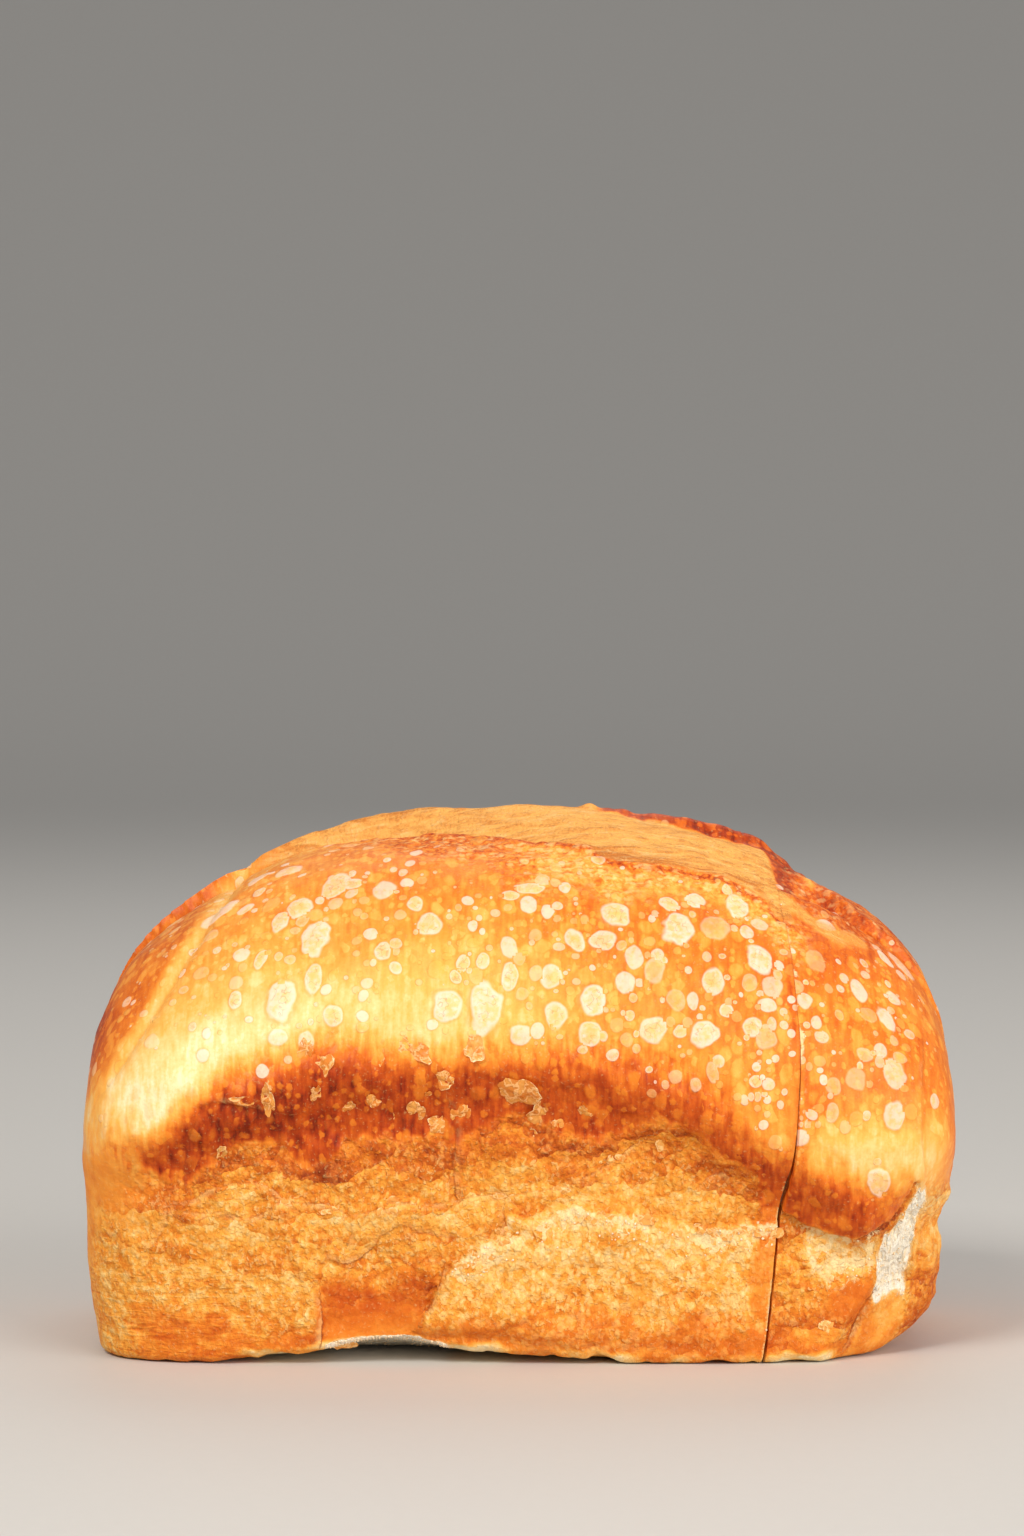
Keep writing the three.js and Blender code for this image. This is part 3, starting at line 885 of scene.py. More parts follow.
    def lay_cracks(self, at: Places, out: Zones) -> None:
        """Cracks and torn edges of sheets: a dark dip along each line, and beside it a pale step.

        Args:
            at: the points.
            out: their zones.
        """
        out.plate = at.plate * out.shred
        out.way = np.full(at.x.shape, 9.0)
        for line in LINES:
            side = np.sign(line.lift or line.pale or 1)
            way = side * line.distance(at.x + 0.2 * at.ragged, at.z + 0.2 * at.ragged)
            way = np.where(at.is_front, way, 99.0)
            step = 0.7 * abs(line.lift) * ease(-0.4, 0.4, way) * np.exp(-np.abs(way) / 5)
            out.relief += step - 0.55 * line.depth * ridge(way, max(line.width, 0.7)) * at.uneven
            nearer = np.abs(way) < np.abs(out.way)
            out.way = np.where(nearer, way, out.way)
            # How dark each crack is drawn, by its depth: partly the crack's own darker crust and partly
            # painted shade in it.
            out.dark = np.where(nearer, min(line.depth, 1) * (0.4 + 0.6 * at.uneven), out.dark)
            out.pale = np.where(nearer, abs(line.pale) * (0.3 + 0.7 * at.uneven), out.pale)

    def lay_relief(self, at: Places, out: Zones) -> None:
        """Rise and fall of the surface: lumps on the skin, crags on the wall, and the steps of zones.

        Args:
            at: the points.
            out: their zones.
        """
        p = at.p
        grain = self.shred_grain
        lumps = 0.45 * self.lump_grain.at(p, 13) + 0.25 * self.lump_grain.at(p, 5.5)
        crags = 0.8 * self.lump_grain.at(p, 10) + 0.5 * grain.rough(p, 4.2, 3)
        sharp = 0.3 - 0.7 * np.abs(grain.at(p, 2.2))
        rough = np.clip(out.shred + 0.5 * at.plate * (1 - at.base_strip), 0, 1)
        relief = blend(lumps, crags + 0.55 * sharp, rough)
        relief += 0.45 * at.band * grain.at(p, (1.9, 6, 3.2))
        relief += out.crinkle * (0.45 * grain.at(p, (5, 3, 1.8)) + 0.35 * grain.at(p, 1.6))
        strands = 0.2 * grain.at(p, (9, 14, 8)) + 0.3 * grain.at(p, (15, 2.4, 5)) + 0.15 * grain.at(p, 1.9)
        relief += out.bloom * strands
        relief += at.ear * (0.2 + 0.5 * grain.at(p, 3))
        relief += 0.6 * ridge(at.x - 67.6, 2.2) * ridge(at.y + 1.5, 4) * at.on_top
        relief += 1.3 * ridge(at.x - 16.3, 2.0) * ease(-4, -1, at.past) * ease(6, 2, at.past) * at.on_top
        ear_rise = blend(0.9, 2.3, ease(26, 44, at.x)) * ease(0.55, 0.62, at.share) * ease(62, 54, at.x)
        relief += ear_rise * ridge(at.past + 1.2, 2.6) * at.on_top
        relief -= 2.6 * ease(-14, -4, at.past) * ridge(at.x - 42, 22) * at.on_top
        relief -= 1.1 * ridge(at.across + 2, 9) * ease(20, 0, at.x) * ease(0.1, 0.3, at.share) * at.on_top
        relief -= 2.4 * ridge(at.x - 68.5, 6.5) * ease(-0.1, 0.9, at.over) * at.on_top
        pinch = 2.8 * ridge(at.z - 29, 5) + 0.8 * ridge(at.z - 19, 6)
        relief -= pinch * ease(85, 92, at.x) * ease(10, -20, at.y)
        relief += at.plate * blend(1.6, 0.9, ease(-10, 48, at.x)) * ease(2, 8, at.z)
        behind_crease = np.where(at.crease < 0, 0.6 * np.exp(np.minimum(at.crease, 0) / 12), 0)
        relief -= at.upper_left * (ridge(at.crease, 1.5) + behind_crease)
        flap = ease(-0.4, 0.4, at.low_edge) * ease(92, 84, at.x) * ease(72, 55, at.z)
        relief += np.where(at.heel & at.is_front, 1.3 * flap, 0)
        relief += at.tear * (0.5 * grain.rough(p * (2.6, 1, 0.5), 2.4, 2) - 0.4)
        out.relief += relief + 0.7 * at.lobe


@dataclass
class Blisters:
    """Blisters that are laid on a surface: their middles, their two directions along it, sizes and tones."""

    middle: Array
    right: Array
    up: Array
    out: Array
    size: Array
    tone: Array

    @classmethod
    def lay(
        cls, points: Array, outward: Array, zones: Zones, known: list[Blister], count: int, seed: int
    ) -> "Blisters":
        """Lays the known blisters on the front and fills free places with smaller seeded ones.

        Args:
            points: points of the surface.
            outward: directions straight out of it.
            zones: its zones, which say where spots form.
            known: blisters with a given place on the front.
            count: how many more are tried.
            seed: seed of the random draws.

        Returns:
            The blisters.
        """
        rng = np.random.default_rng(seed)
        places = points.reshape(-1, 3)
        outs = outward.reshape(-1, 3)
        far = off_front(outs)
        ids = [int(np.argmin((places[:, 0] - b.x) ** 2 + (places[:, 2] - b.z) ** 2 + far)) for b in known]
        sizes = [(b.wide, b.high) for b in known]
        tones = [b.tone for b in known]
        weight = zones.spots.ravel() * np.linalg.norm(np.gradient(points, axis=1), axis=-1).ravel()
        tries = rng.choice(len(places), count, p=weight / weight.sum())
        hosts = rng.integers(0, len(known), count)
        beside = rng.random(count) < 0.5
        step = rng.normal(0, 1, (count, 2)) * 0.9 * (np.max(sizes, axis=1)[hosts, None] + 1.2)
        for k in np.flatnonzero(beside):
            near = places[ids[hosts[k]]]
            along = places[:, 0] - near[0] - step[k, 0]
            upward = places[:, 2] - near[2] - step[k, 1]
            tries[k] = np.argmin(along**2 + upward**2 + far)
        radius = np.clip(np.exp(rng.normal(-0.25, 0.5, count)), 0.35, 2.4)
        shape = rng.uniform(0.8, 1.3, count)
        paleness = rng.beta(1.7, 2.4, count)
        for place, r, s, tone in zip(tries, radius, shape, paleness):
            gap = np.linalg.norm(places[ids] - places[place], axis=-1)
            if np.all(gap > 0.78 * (np.mean(sizes, axis=1) + r)):
                ids.append(int(place))
                sizes.append((r, r * s))
                tones.append(float(tone))
        out = outs[ids]
        right = unit(np.cross(np.array([0.0, 0.0, 1.0]) + 0.001, out))
        return cls(places[ids], right, np.cross(out, right), out, np.array(sizes), np.array(tones))

    def local(self, points: Array, k: int) -> Array:
        """Places of points on one blister, as shares of its sizes, far off where not on its side."""
        away = points - self.middle[k]
        on_skin = np.stack([away @ self.right[k], away @ self.up[k]], axis=-1) / self.size[k]
        return np.where((np.abs(away @ self.out[k]) < 6)[..., None], on_skin, 9.0)

    def domes(self, points: Array) -> Array:
        """Height of the blisters: a low dome each, the root of 1 less the distance squared.

        Args:
            points: points of the plain crust.

        Returns:
            The heights, larger on wide and pale blisters.
        """
        height = np.zeros(points.shape[:-1])
        for k in range(len(self.tone)):
            dome = 1 - np.sum(self.local(points, k) ** 2, axis=-1)
            top = 0.13 * min(self.size[k]) * (0.5 + 0.6 * self.tone[k])
            height = np.maximum(height, top * np.sqrt(np.maximum(dome, 0)))
        return height

    def on_faces(self, centres: Array) -> tuple[Array, Array]:
        """The nearest blister of each face, by distance as a share of its size.

        Args:
            centres: middles of the faces.

        Returns:
            The number of the blister, and whether the face is near it.
        """
        best = np.full(len(centres), 3.0)
        owner = np.zeros(len(centres), int)
        for k in range(len(self.tone)):
            distance = np.linalg.norm(self.local(centres, k), axis=-1)
            nearer = distance < best
            best[nearer] = distance[nearer]
            owner[nearer] = k
        return owner, best < 2.9


@dataclass
class Shell:
    """A closed surface on a grid of rings and columns, with points as its first and last ring."""

    points: Array

    def ids(self) -> Array:
        """Number of the vertex at each place of the grid."""
        rings, columns = self.points.shape[:2]
        inner = 1 + np.arange((rings - 2) * columns).reshape(rings - 2, columns)
        first = np.zeros((1, columns), int)
        return np.concatenate([first, inner, first + 1 + (rings - 2) * columns])

    def flat(self, values: Array) -> Array:
        """Values of the grid in the order of the vertices."""
        inner = values[1:-1].reshape(-1, *values.shape[2:])
        return np.concatenate([values[:1, 0], inner, values[-1:, 0]])

    def faces(self) -> tuple[Array, Array]:
        """Triangles at the two points and four-sided faces between, turned so that they face outwards.

        Returns:
            The triangles and the four-sided faces, as numbers of vertices.
        """
        ids = self.ids()
        beside = np.roll(ids, -1, axis=1)
        start = np.stack([ids[0], beside[1], ids[1]], axis=-1)
        end = np.stack([ids[-2], beside[-2], ids[-1]], axis=-1)
        quads = np.stack([ids[1:-2], beside[1:-2], beside[2:-1], ids[2:-1]], axis=-1).reshape(-1, 4)
        triangles = np.concatenate([start, end])
        place = self.flat(self.points) - self.points.mean(axis=(0, 1))
        a, b, c, d = np.moveaxis(place[quads], 1, 0)
        volume = np.sum(np.cross(c - a, d - b) * (a + b + c + d))
        if volume < 0:
            return triangles[:, ::-1], quads[:, ::-1]
        return triangles, quads


def new_piece(name: str, points: Array, triangles: Array, quads: Array) -> bpy.types.Object:
    """A smooth mesh object of points in millimetres of the form's frame, with its place in its mesh.

    Args:
        name: name of the piece.
        points: its vertices.
        triangles: its faces of three, as numbers of vertices.
        quads: its faces of four.

    Returns:
        The object.
    """
    mesh = bpy.data.meshes.new(name)
    corners = np.concatenate([triangles.ravel(), quads.ravel()]).astype(np.int32)
    three = 3 * np.arange(len(triangles))
    four = 3 * len(triangles) + 4 * np.arange(len(quads))
    mesh.vertices.add(len(points))
    mesh.vertices.foreach_set("co", ((points + LoafForm().centring) * MM).astype(np.float32).ravel())
    mesh.loops.add(len(corners))
    mesh.loops.foreach_set("vertex_index", corners)
    mesh.polygons.add(len(triangles) + len(quads))
    mesh.polygons.foreach_set("loop_start", np.concatenate([three, four]).astype(np.int32))
    mesh.update(calc_edges=True)
    mesh.validate()
    mesh.shade_smooth()
    mesh.set_sharp_from_angle(angle=math.radians(65))
    piece = bpy.data.objects.new(name, mesh)
    bpy.context.collection.objects.link(piece)
    return piece


def paint(piece: bpy.types.Object, name: str, *channels: Array) -> None:
    """Writes up to three values for each vertex into a colour attribute of the piece.

    Args:
        piece: the piece.
        name: name of the attribute.
        channels: values for each vertex.
    """
    colours = np.ones((len(piece.data.vertices), 4), np.float32)
    colours[:, :3] = 0
    for k, channel in enumerate(channels):
        colours[:, k] = channel
    attribute = piece.data.attributes.new(name, "FLOAT_COLOR", "POINT")
    attribute.data.foreach_set("color", colours.ravel())


class Value:
    """A number that changes over a surface, with arithmetic that adds Math nodes."""

    def __init__(self, shader: "Shader", socket: Socket) -> None:
        """Keeps the shader and the socket that gives the number."""
        self.shader = shader
        self.socket = socket

    def __add__(self, other: "Value | float") -> "Value":
        """Sum."""
        return self.shader.math("ADD", self, other)

    def __radd__(self, other: float) -> "Value":
        """Sum with a plain number first."""
        return self.shader.math("ADD", other, self)

    def __sub__(self, other: "Value | float") -> "Value":
        """Difference."""
        return self.shader.math("SUBTRACT", self, other)

    def __rsub__(self, other: float) -> "Value":
        """Difference from a plain number."""
        return self.shader.math("SUBTRACT", other, self)

    def __mul__(self, other: "Value | float") -> "Value":
        """Product."""
        return self.shader.math("MULTIPLY", self, other)

    def larger(self, other: "Value | float") -> "Value":
        """The larger of the two."""
        return self.shader.math("MAXIMUM", self, other)

    def step(self, low: float, high: float) -> "Value":
        """Smooth step from 0 at low to 1 at high, which may lie on either side."""
        first, last = sorted((low, high))
        ends = {"To Min": float(low > high), "To Max": float(low < high)}
        limits = {"Value": self, "From Min": first, "From Max": last, **ends}
        made = self.shader.node("ShaderNodeMapRange", {"interpolation_type": "SMOOTHSTEP"}, limits)
        return Value(self.shader, made.outputs["Result"])


class Shader:
    """A material under construction. Coarse and fine cells are bent by noise of their own sizes."""

    COARSE_CELL = 2.5
    COARSE_BEND = 4.0
    FINE_BEND = 1.1

    def __init__(self, name: str) -> None:
        """Starts an empty material that reads Object coordinates."""
        self.material = bpy.data.materials.new(name)
        self.material.use_nodes = True
        self.tree = self.material.node_tree
        self.tree.nodes.clear()
        self.place = self.node("ShaderNodeTexCoord").outputs["Object"]
        self.bends: dict[float, Socket] = {}

    def node(self, kind: str, settings: dict | None = None, inputs: dict | None = None) -> bpy.types.Node:
        """Adds a node.

        Args:
            kind: type of the node.
            settings: its own settings, where stops are a colour ramp's places and colours.
            inputs: numbers, colours or links for its sockets, by name or number.

        Returns:
            The node.
        """
        made = self.tree.nodes.new(kind)
        for name, setting in (settings or {}).items():
            if name == "stops":
                ramp = made.color_ramp.elements
                for place, _ in setting[2:]:
                    ramp.new(place)
                for element, (place, colour) in zip(ramp, setting):
                    element.position = place
                    element.color = (*colour, 1)
            else:
                setattr(made, name, setting)
        for name, value in (inputs or {}).items():
            source = value.socket if isinstance(value, Value) else value
            if isinstance(source, Socket):
                self.tree.links.new(source, made.inputs[name])
            else:
                made.inputs[name].default_value = source
        return made

    def math(self, operation: str, first: Value | float, second: Value | float) -> Value:
        """A Math node of two numbers."""
        made = self.node("ShaderNodeMath", {"operation": operation}, {0: first, 1: second})
        return Value(self, made.outputs[0])

    def vector(self, operation: str, *values: object) -> Socket:
        """The vector that a Vector Math node makes of its inputs."""
        made = self.node("ShaderNodeVectorMath", {"operation": operation}, dict(enumerate(values)))
        return made.outputs[0]

    def mix(self, share: Value | float, first: Tint, second: Tint) -> Socket:
        """A colour that lies the given share of the way from the first to the second.

        Args:
            share: from 0 to 1.
            first: colour or link.
            second: colour or link.

        Returns:
            The socket of the mixed colour.
        """
        pair = [(*c, 1) if isinstance(c, tuple) else c for c in (first, second)]
        made = self.node("ShaderNodeMix", {"data_type": "RGBA"}, {0: share, 6: pair[0], 7: pair[1]})
        return made.outputs[2]

    def spread(self, size: Size) -> Socket:
        """Object coordinates counted in lumps of a size in millimetres, the same or one for each axis."""
        sizes = (size,) * 3 if isinstance(size, (int, float)) else size
        return self.vector("MULTIPLY", self.place, tuple(1 / (s * MM) for s in sizes))

    def noise(self, size: Size, detail: float = 2.0, warp: float = 0.0) -> Value:
        """Noise from about -1 to 1.

        Args:
            size: size of its lumps in millimetres, the same or one for each axis.
            detail: layers of finer noise.
            warp: how far it is bent by itself.

        Returns:
            The noise.
        """
        inputs = {"Vector": self.spread(size), "Scale": 1.0, "Detail": detail, "Distortion": warp}
        return Value(self, self.node("ShaderNodeTexNoise", {}, inputs).outputs[0]) * 4.0 - 2.0

    def bend(self, size: float) -> Socket:
        """Colour noise with lumps of a size in millimetres, made once and shared by all that it bends."""
        if size not in self.bends:
            inputs = {"Vector": self.spread(size), "Scale": 1.0, "Detail": 2.0}
            self.bends[size] = self.node("ShaderNodeTexNoise", {}, inputs).outputs[1]
        return self.bends[size]

    def cells(self, size: tuple[float, float, float], warp: float) -> tuple[Value, Value, Value]:
        """Cells of about the given size in millimetres, with edges bent by noise.

        Args:
            size: size of a cell along each axis.
            warp: how far the edges bend, in cells.

        Returns:
            The way from each cell's middle, a random number for each cell, and the way up from its middle.
        """
        place = self.spread(size)
        bend = self.bend(self.COARSE_BEND if min(size) > self.COARSE_CELL else self.FINE_BEND)
        bent = self.vector("MULTIPLY_ADD", bend, (warp,) * 3, place)
        made = self.node("ShaderNodeTexVoronoi", {}, {"Vector": bent, "Scale": 1.0})
        parts = self.node("ShaderNodeSeparateColor", {}, {0: made.outputs["Color"]})
        offset = self.vector("SUBTRACT", bent, made.outputs["Position"])
        up = self.node("ShaderNodeSeparateXYZ", {}, {0: offset}).outputs[2]
        return Value(self, made.outputs["Distance"]), Value(self, parts.outputs[0]), Value(self, up)

    def painted(self, name: str) -> tuple[Value, Value, Value]:
        """The three values of a colour attribute."""
        colour = self.node("ShaderNodeAttribute", {"attribute_name": name}).outputs["Color"]
        parts = self.node("ShaderNodeSeparateColor", {}, {0: colour})
        return tuple(Value(self, parts.outputs[k]) for k in range(3))

    def close(self, height: Value, depth: float, **sockets: object) -> bpy.types.Material:
        """Ends the material with a Principled shader over a bump.

        Args:
            height: height of the bump, in shares of its depth.
            depth: depth of the bump in millimetres.
            sockets: values or links of the shader's sockets, with low lines for the spaces in their names.

        Returns:
            The material.
        """
        bump = self.node("ShaderNodeBump", {}, {"Strength": 1.0, "Distance": depth * MM, "Height": height})
        inputs = {name.replace("_", " "): value for name, value in sockets.items()}
        inputs["Normal"] = bump.outputs[0]
        surface = self.node("ShaderNodeBsdfPrincipled", {}, inputs)
        self.node("ShaderNodeOutputMaterial", {}, {0: surface.outputs[0]})
        return self.material


@dataclass(frozen=True)
class CrustFinish:
    """Baked crust: golden to red-brown by its bake, with blisters, torn edges and the score's bloom."""

    name: str
    stops: tuple[tuple[float, Colour], ...] = (
        (0.0, linear(255, 236, 186)),
        (0.12, linear(255, 215, 142)),
        (0.3, linear(254, 185, 86)),
        (0.48, linear(248, 154, 54)),
        (0.62, linear(234, 124, 34)),
        (0.78, linear(205, 87, 16)),
        (0.92, linear(168, 54, 4)),
        (1.0, linear(124, 32, 2)),
    )
    torn_stops: tuple[tuple[float, Colour], ...] = (
        (0.0, linear(255, 234, 184)),
        (0.2, linear(255, 206, 124)),
        (0.42, linear(248, 170, 64)),
        (0.6, linear(230, 134, 36)),
        (0.78, linear(202, 98, 20)),
        (1.0, linear(150, 56, 8)),
    )
    cream: Colour = linear(254, 227, 204)
    honey: Colour = linear(252, 206, 132)
    gold: Colour = linear(253, 190, 84)
    bloom: Colour = linear(246, 178, 90)
    bloom_shade: Colour = linear(208, 122, 46)
    crumb: Colour = linear(255, 247, 228)
    crumb_shade: Colour = linear(255, 230, 186)
    groove: Colour = linear(150, 58, 8)
    fleck: Colour = linear(255, 212, 138)
    peel: Colour = linear(255, 226, 168)
    bubble: Colour = linear(238, 138, 36)
    amber: Colour = linear(226, 124, 34)

    def material(self) -> bpy.types.Material:
        """Builds the material.

        Bake is the painted bake with noise at several sizes, and a ramp turns it into colour. Blisters come
        from the distance on the blister map, flecks and plates from cells, and the painted zones mix in
        bloom, crumb and cracks.

        Returns:
            The material.
        """
        s = Shader(self.name)
        bake, shred, crumb = s.painted("bake")
        bloom, gloss, streak = s.painted("skin")
        torn, groove, crinkle = s.painted("edge")
        way, dark, pale = s.painted("line")
        plate, ply, _ = s.painted("wall")
        fine = s.noise(0.7, 2)
        mid = s.noise(3.6, 3)
        broad = s.noise(9.0, 2)
        shreds = s.noise((1.3, 1.3, 1.7), 2, 0.4)
        streaks = s.noise((1.2, 6.0, 6.0), 2)
        patch_away, patch_tone, _ = s.cells((2.0, 2.0, 2.4), 1.0)
        chip_away, chip_tone, _ = s.cells((1.1, 1.1, 1.6), 0.9)
        _, sheet_tone, sheet_up = s.cells((9.0, 9.0, 6.0), 0.9)
        _, scale_tone, scale_up = s.cells((4.0, 4.0, 3.2), 1.0)
        bubble_away, bubble_tone, _ = s.cells((3.3, 3.3, 4.6), 0.7)
        bead_away, bead_tone, _ = s.cells((1.7, 1.7, 2.4), 0.6)
        ghost = bubble_away.step(0.6, 0.4) * bubble_tone.step(0.5, 0.75)
        dot = bead_away.step(0.52, 0.34) * bead_tone.step(0.55, 0.8)
        plies = s.noise((6.0, 6.0, 1.3), 3, 1.0)
        grit = chip_away.step(0.62, 0.2) * chip_tone.step(0.7, 0.2)

        level = bake + s.noise(16, 2) * 0.04 + mid * 0.03 + streak * (streaks * 0.08 + mid * 0.05)
        flaky = (patch_tone * 0.18 + chip_tone * 0.12 - 0.15) * (plate * 0.6 + 0.4)
        level = level + shred * (flaky + shreds * 0.1 + mid * 0.05 + broad * 0.06 + fine * 0.06)
        # Each sheet and scale of the wall is paler towards its top: painted light on its upper edge, over
        # each one's own random tone.
        sheet_tones_and_top_light = sheet_up * 0.2 + sheet_tone * 0.14 + scale_up * 0.1 + scale_tone * 0.08 - 0.11
        level = level - shred * sheet_tones_and_top_light * (1 - plate * 0.5) * (1 - ply * 0.7)
        level = level - shred * (grit * 0.1 - chip_away.step(0.5, 0.9) * 0.03 - 0.02)
        level = level - ply * (plies * 0.16 + 0.04)
        level = level + crinkle * (shreds * 0.22 + fine * 0.1)
        faint = ghost.larger(dot) * (bake.step(0.2, 0.5) * 0.11 + 0.04)
        level = level + gloss * (fine * 0.04 + streaks * 0.09 + mid * 0.02 - faint)
        colour = s.node("ShaderNodeValToRGB", {"stops": self.stops}, {0: level}).outputs[0]
        torn_colour = s.node("ShaderNodeValToRGB", {"stops": self.torn_stops}, {0: level}).outputs[0]
        colour = s.mix(shred * 0.85, colour, torn_colour)
        bubble = bubble_away.step(0.56, 0.3) * bubble_tone.step(0.45, 0.9)
        bead = bead_away.step(0.52, 0.25) * bead_tone.step(0.45, 0.85)
        colour = s.mix(bubble.larger(bead) * streak * (mid * 0.2 + 0.6), colour, self.bubble)

        disc, away, tone = self.blister(s)
        own = s.math("FRACT", tone * 37.7, 0.0)
        speckle = s.noise(1.2, 2)
        patches = (mid * 0.5 + speckle * 0.6 + own * 0.6).step(0.0, 1.0) * away.step(0.98, 0.72)
        inside = s.mix(patches * 0.9, self.cream, self.honey)
        middle = (away + mid * 0.4).step(0.6, 0.25) * own.step(0.55, 0.85)
        inside = s.mix(middle * 0.5, inside, self.gold)
        spot_colour = s.mix(tone.step(0.1, 0.7), self.gold, inside)
        ring = away.step(0.98, 1.06) * away.step(1.3, 1.1) * tone
        colour = s.mix(ring * 0.25, colour, self.amber)
        colour = s.mix(disc * (tone * 0.62 + 0.26) * (fine * 0.12 + 0.93), colour, spot_colour)
        split = s.math("ABSOLUTE", s.noise(2.6, 2), 0.0).step(0.07, 0.02)
        split = split * own.step(0.35, 0.6) * away.step(0.85, 0.6)
        colour = s.mix(split * tone * 0.35, colour, self.groove)

        crisp_away, crisp_tone, _ = s.cells((2.2, 1.5, 1.2), 1.2)
        crisp = crisp_away.step(0.7, 0.25) * crisp_tone.step(0.3, 0.7) * crinkle
        colour = s.mix(crisp * 0.6, colour, self.fleck)
        crowd = broad.step(-0.5, 0.6)
        patch = patch_away.step(0.75, 0.35) * patch_tone.step(0.45, 0.1) * (plate * 0.4 + 0.1)
        chip = chip_away.step(0.7, 0.25) * chip_tone.step(0.5, 0.15) * (plate * 0.4 + crowd * 0.2 + 0.15)
        fleck = (fine * 0.7 - shreds).step(0.3, 0.7) * (crowd * 0.25 + 0.28)
        fleck = fleck.larger(grit * chip_tone.step(0.35, 0.05) * (crowd * 0.25 + 0.15))
        fleck = fleck.larger((fine * 0.6 + plies).step(0.5, 1.1) * ply * 0.6)
        flecks = fleck.larger(chip).larger(patch) * shred * (bake.step(0.72, 0.5) * 0.65 + 0.35)
        colour = s.mix(flecks, colour, self.fleck)
        edge = way + fine * 0.25 + mid * 0.15
        lit = (shreds * 0.8 + mid * 0.5 + 0.35).step(0.0, 0.8)
        colour = s.mix(edge.step(-0.15, 0.2) * edge.step(1.9, 0.2) * pale * lit, colour, self.fleck)
        sheet = torn * 1.1 - patch_tone * 0.5 - chip_tone * 0.4 + shreds * 0.2 + streaks * 0.2 + 0.4
        colour = s.mix(sheet.step(0.25, 0.8) * torn.step(0.02, 0.25) * 0.8, colour, self.peel)

        fibres = s.noise((9.0, 1.9, 2.6), 2, 1.0)
        # Painted shade on the bloom, from its painted bake, with fibres and noise as its own tone.
        shade = (bake + fibres * 0.36 + mid * 0.22 + fine * 0.28).step(0.0, 1.0)
        bloom_colour = s.mix(shade, self.bloom, self.bloom_shade)
        glint = (mid * 0.5 - fibres * 0.6 + fine * 0.4).step(0.0, 0.9) * 0.6
        bloom_colour = s.mix(glint, bloom_colour, self.honey)
        colour = s.mix(bloom, colour, bloom_colour)
        pores = s.noise((1.1, 1.1, 4.0), 2, 0.6)
        crumb_colour = s.mix((pores * 0.5 + 0.6).step(0.0, 0.8), self.crumb_shade, self.crumb)
        colour = s.mix((crumb + fine * 0.2).step(0.05, 0.4) * 0.7, colour, self.honey)
        bread = (crumb + fine * 0.15 + pores * 0.2).step(0.35, 0.75)
        colour = s.mix(bread, colour, crumb_colour)
        # Dark red-brown in cracks, partly their own darker crust and partly painted shade; in the groove
        # channel it is painted shade of the cut's gap, the hollow's top and the flap's edge.
        crack = s.math("ABSOLUTE", edge, 0.0).step(0.34, 0.08) * dark * (mid * 0.5 + 0.75)
        colour = s.mix((groove * 1.15).step(0.2, 0.95).larger(crack) * 0.8, colour, self.groove)

        height = fine * (shred * 0.1 + 0.05) + mid * 0.08 + disc * 0.2
        sunk = (patch_tone * 0.35 + chip_tone * 0.3) * (plate * 0.6 + 0.4) * -1.0
        height = height + shred * (sunk - shreds * 0.35 + fleck * 0.25)
        height = height + ply * plies * 0.2 - shred * chip_away * 0.3
        height = height + shred * (sheet_up * 0.7 + scale_up * 0.3) * (1 - plate * 0.5)
        height = height - (bubble_away * 0.7 + bead_away * 0.4) * streak + bread * pores * 0.5
        height = height + (fibres * 0.35 + fine * 0.25 + mid * 0.3) * bloom
        height = height + streaks * streak * 0.08 - crisp_away * crinkle * 0.6
        return s.close(
            height,
            0.5,
            Base_Color=colour,
            Roughness=0.66 - gloss * 0.2 - streak * 0.1 + bread * 0.15 + crinkle * 0.1 + fine * 0.03,
            Coat_Weight=gloss * 0.06,
            Coat_Roughness=0.35,
            Specular_IOR_Level=0.2,
        )

    def blister(self, s: Shader) -> tuple[Value, Value, Value]:
        """Reads the blister map: the way from the nearest blister's middle, bent by noise at two sizes.

        Args:
            s: the material under construction.

        Returns:
            Whether a place is on a blister, its way from the middle as a share, and the blister's tone.
        """
        spot = s.node("ShaderNodeUVMap", {"uv_map": "blister"}).outputs[0]
        for size, amount in ((6.0, 1.0), (2.4, 0.3)):
            inputs = {"Vector": s.spread(size), "Scale": 1.0, "Detail": 1.0}
            bend = s.node("ShaderNodeTexNoise", {}, inputs).outputs[1]
            bent = s.vector("MULTIPLY_ADD", bend, (amount, amount, 0.0), spot)
            spot = s.vector("SUBTRACT", bent, (amount / 2, amount / 2, 0.0))
        away = Value(s, s.node("ShaderNodeVectorMath", {"operation": "LENGTH"}, {0: spot}).outputs["Value"])
        tone = Value(s, s.node("ShaderNodeAttribute", {"attribute_name": "tone"}).outputs["Fac"])
        return away.step(1.06, 0.86), away, tone


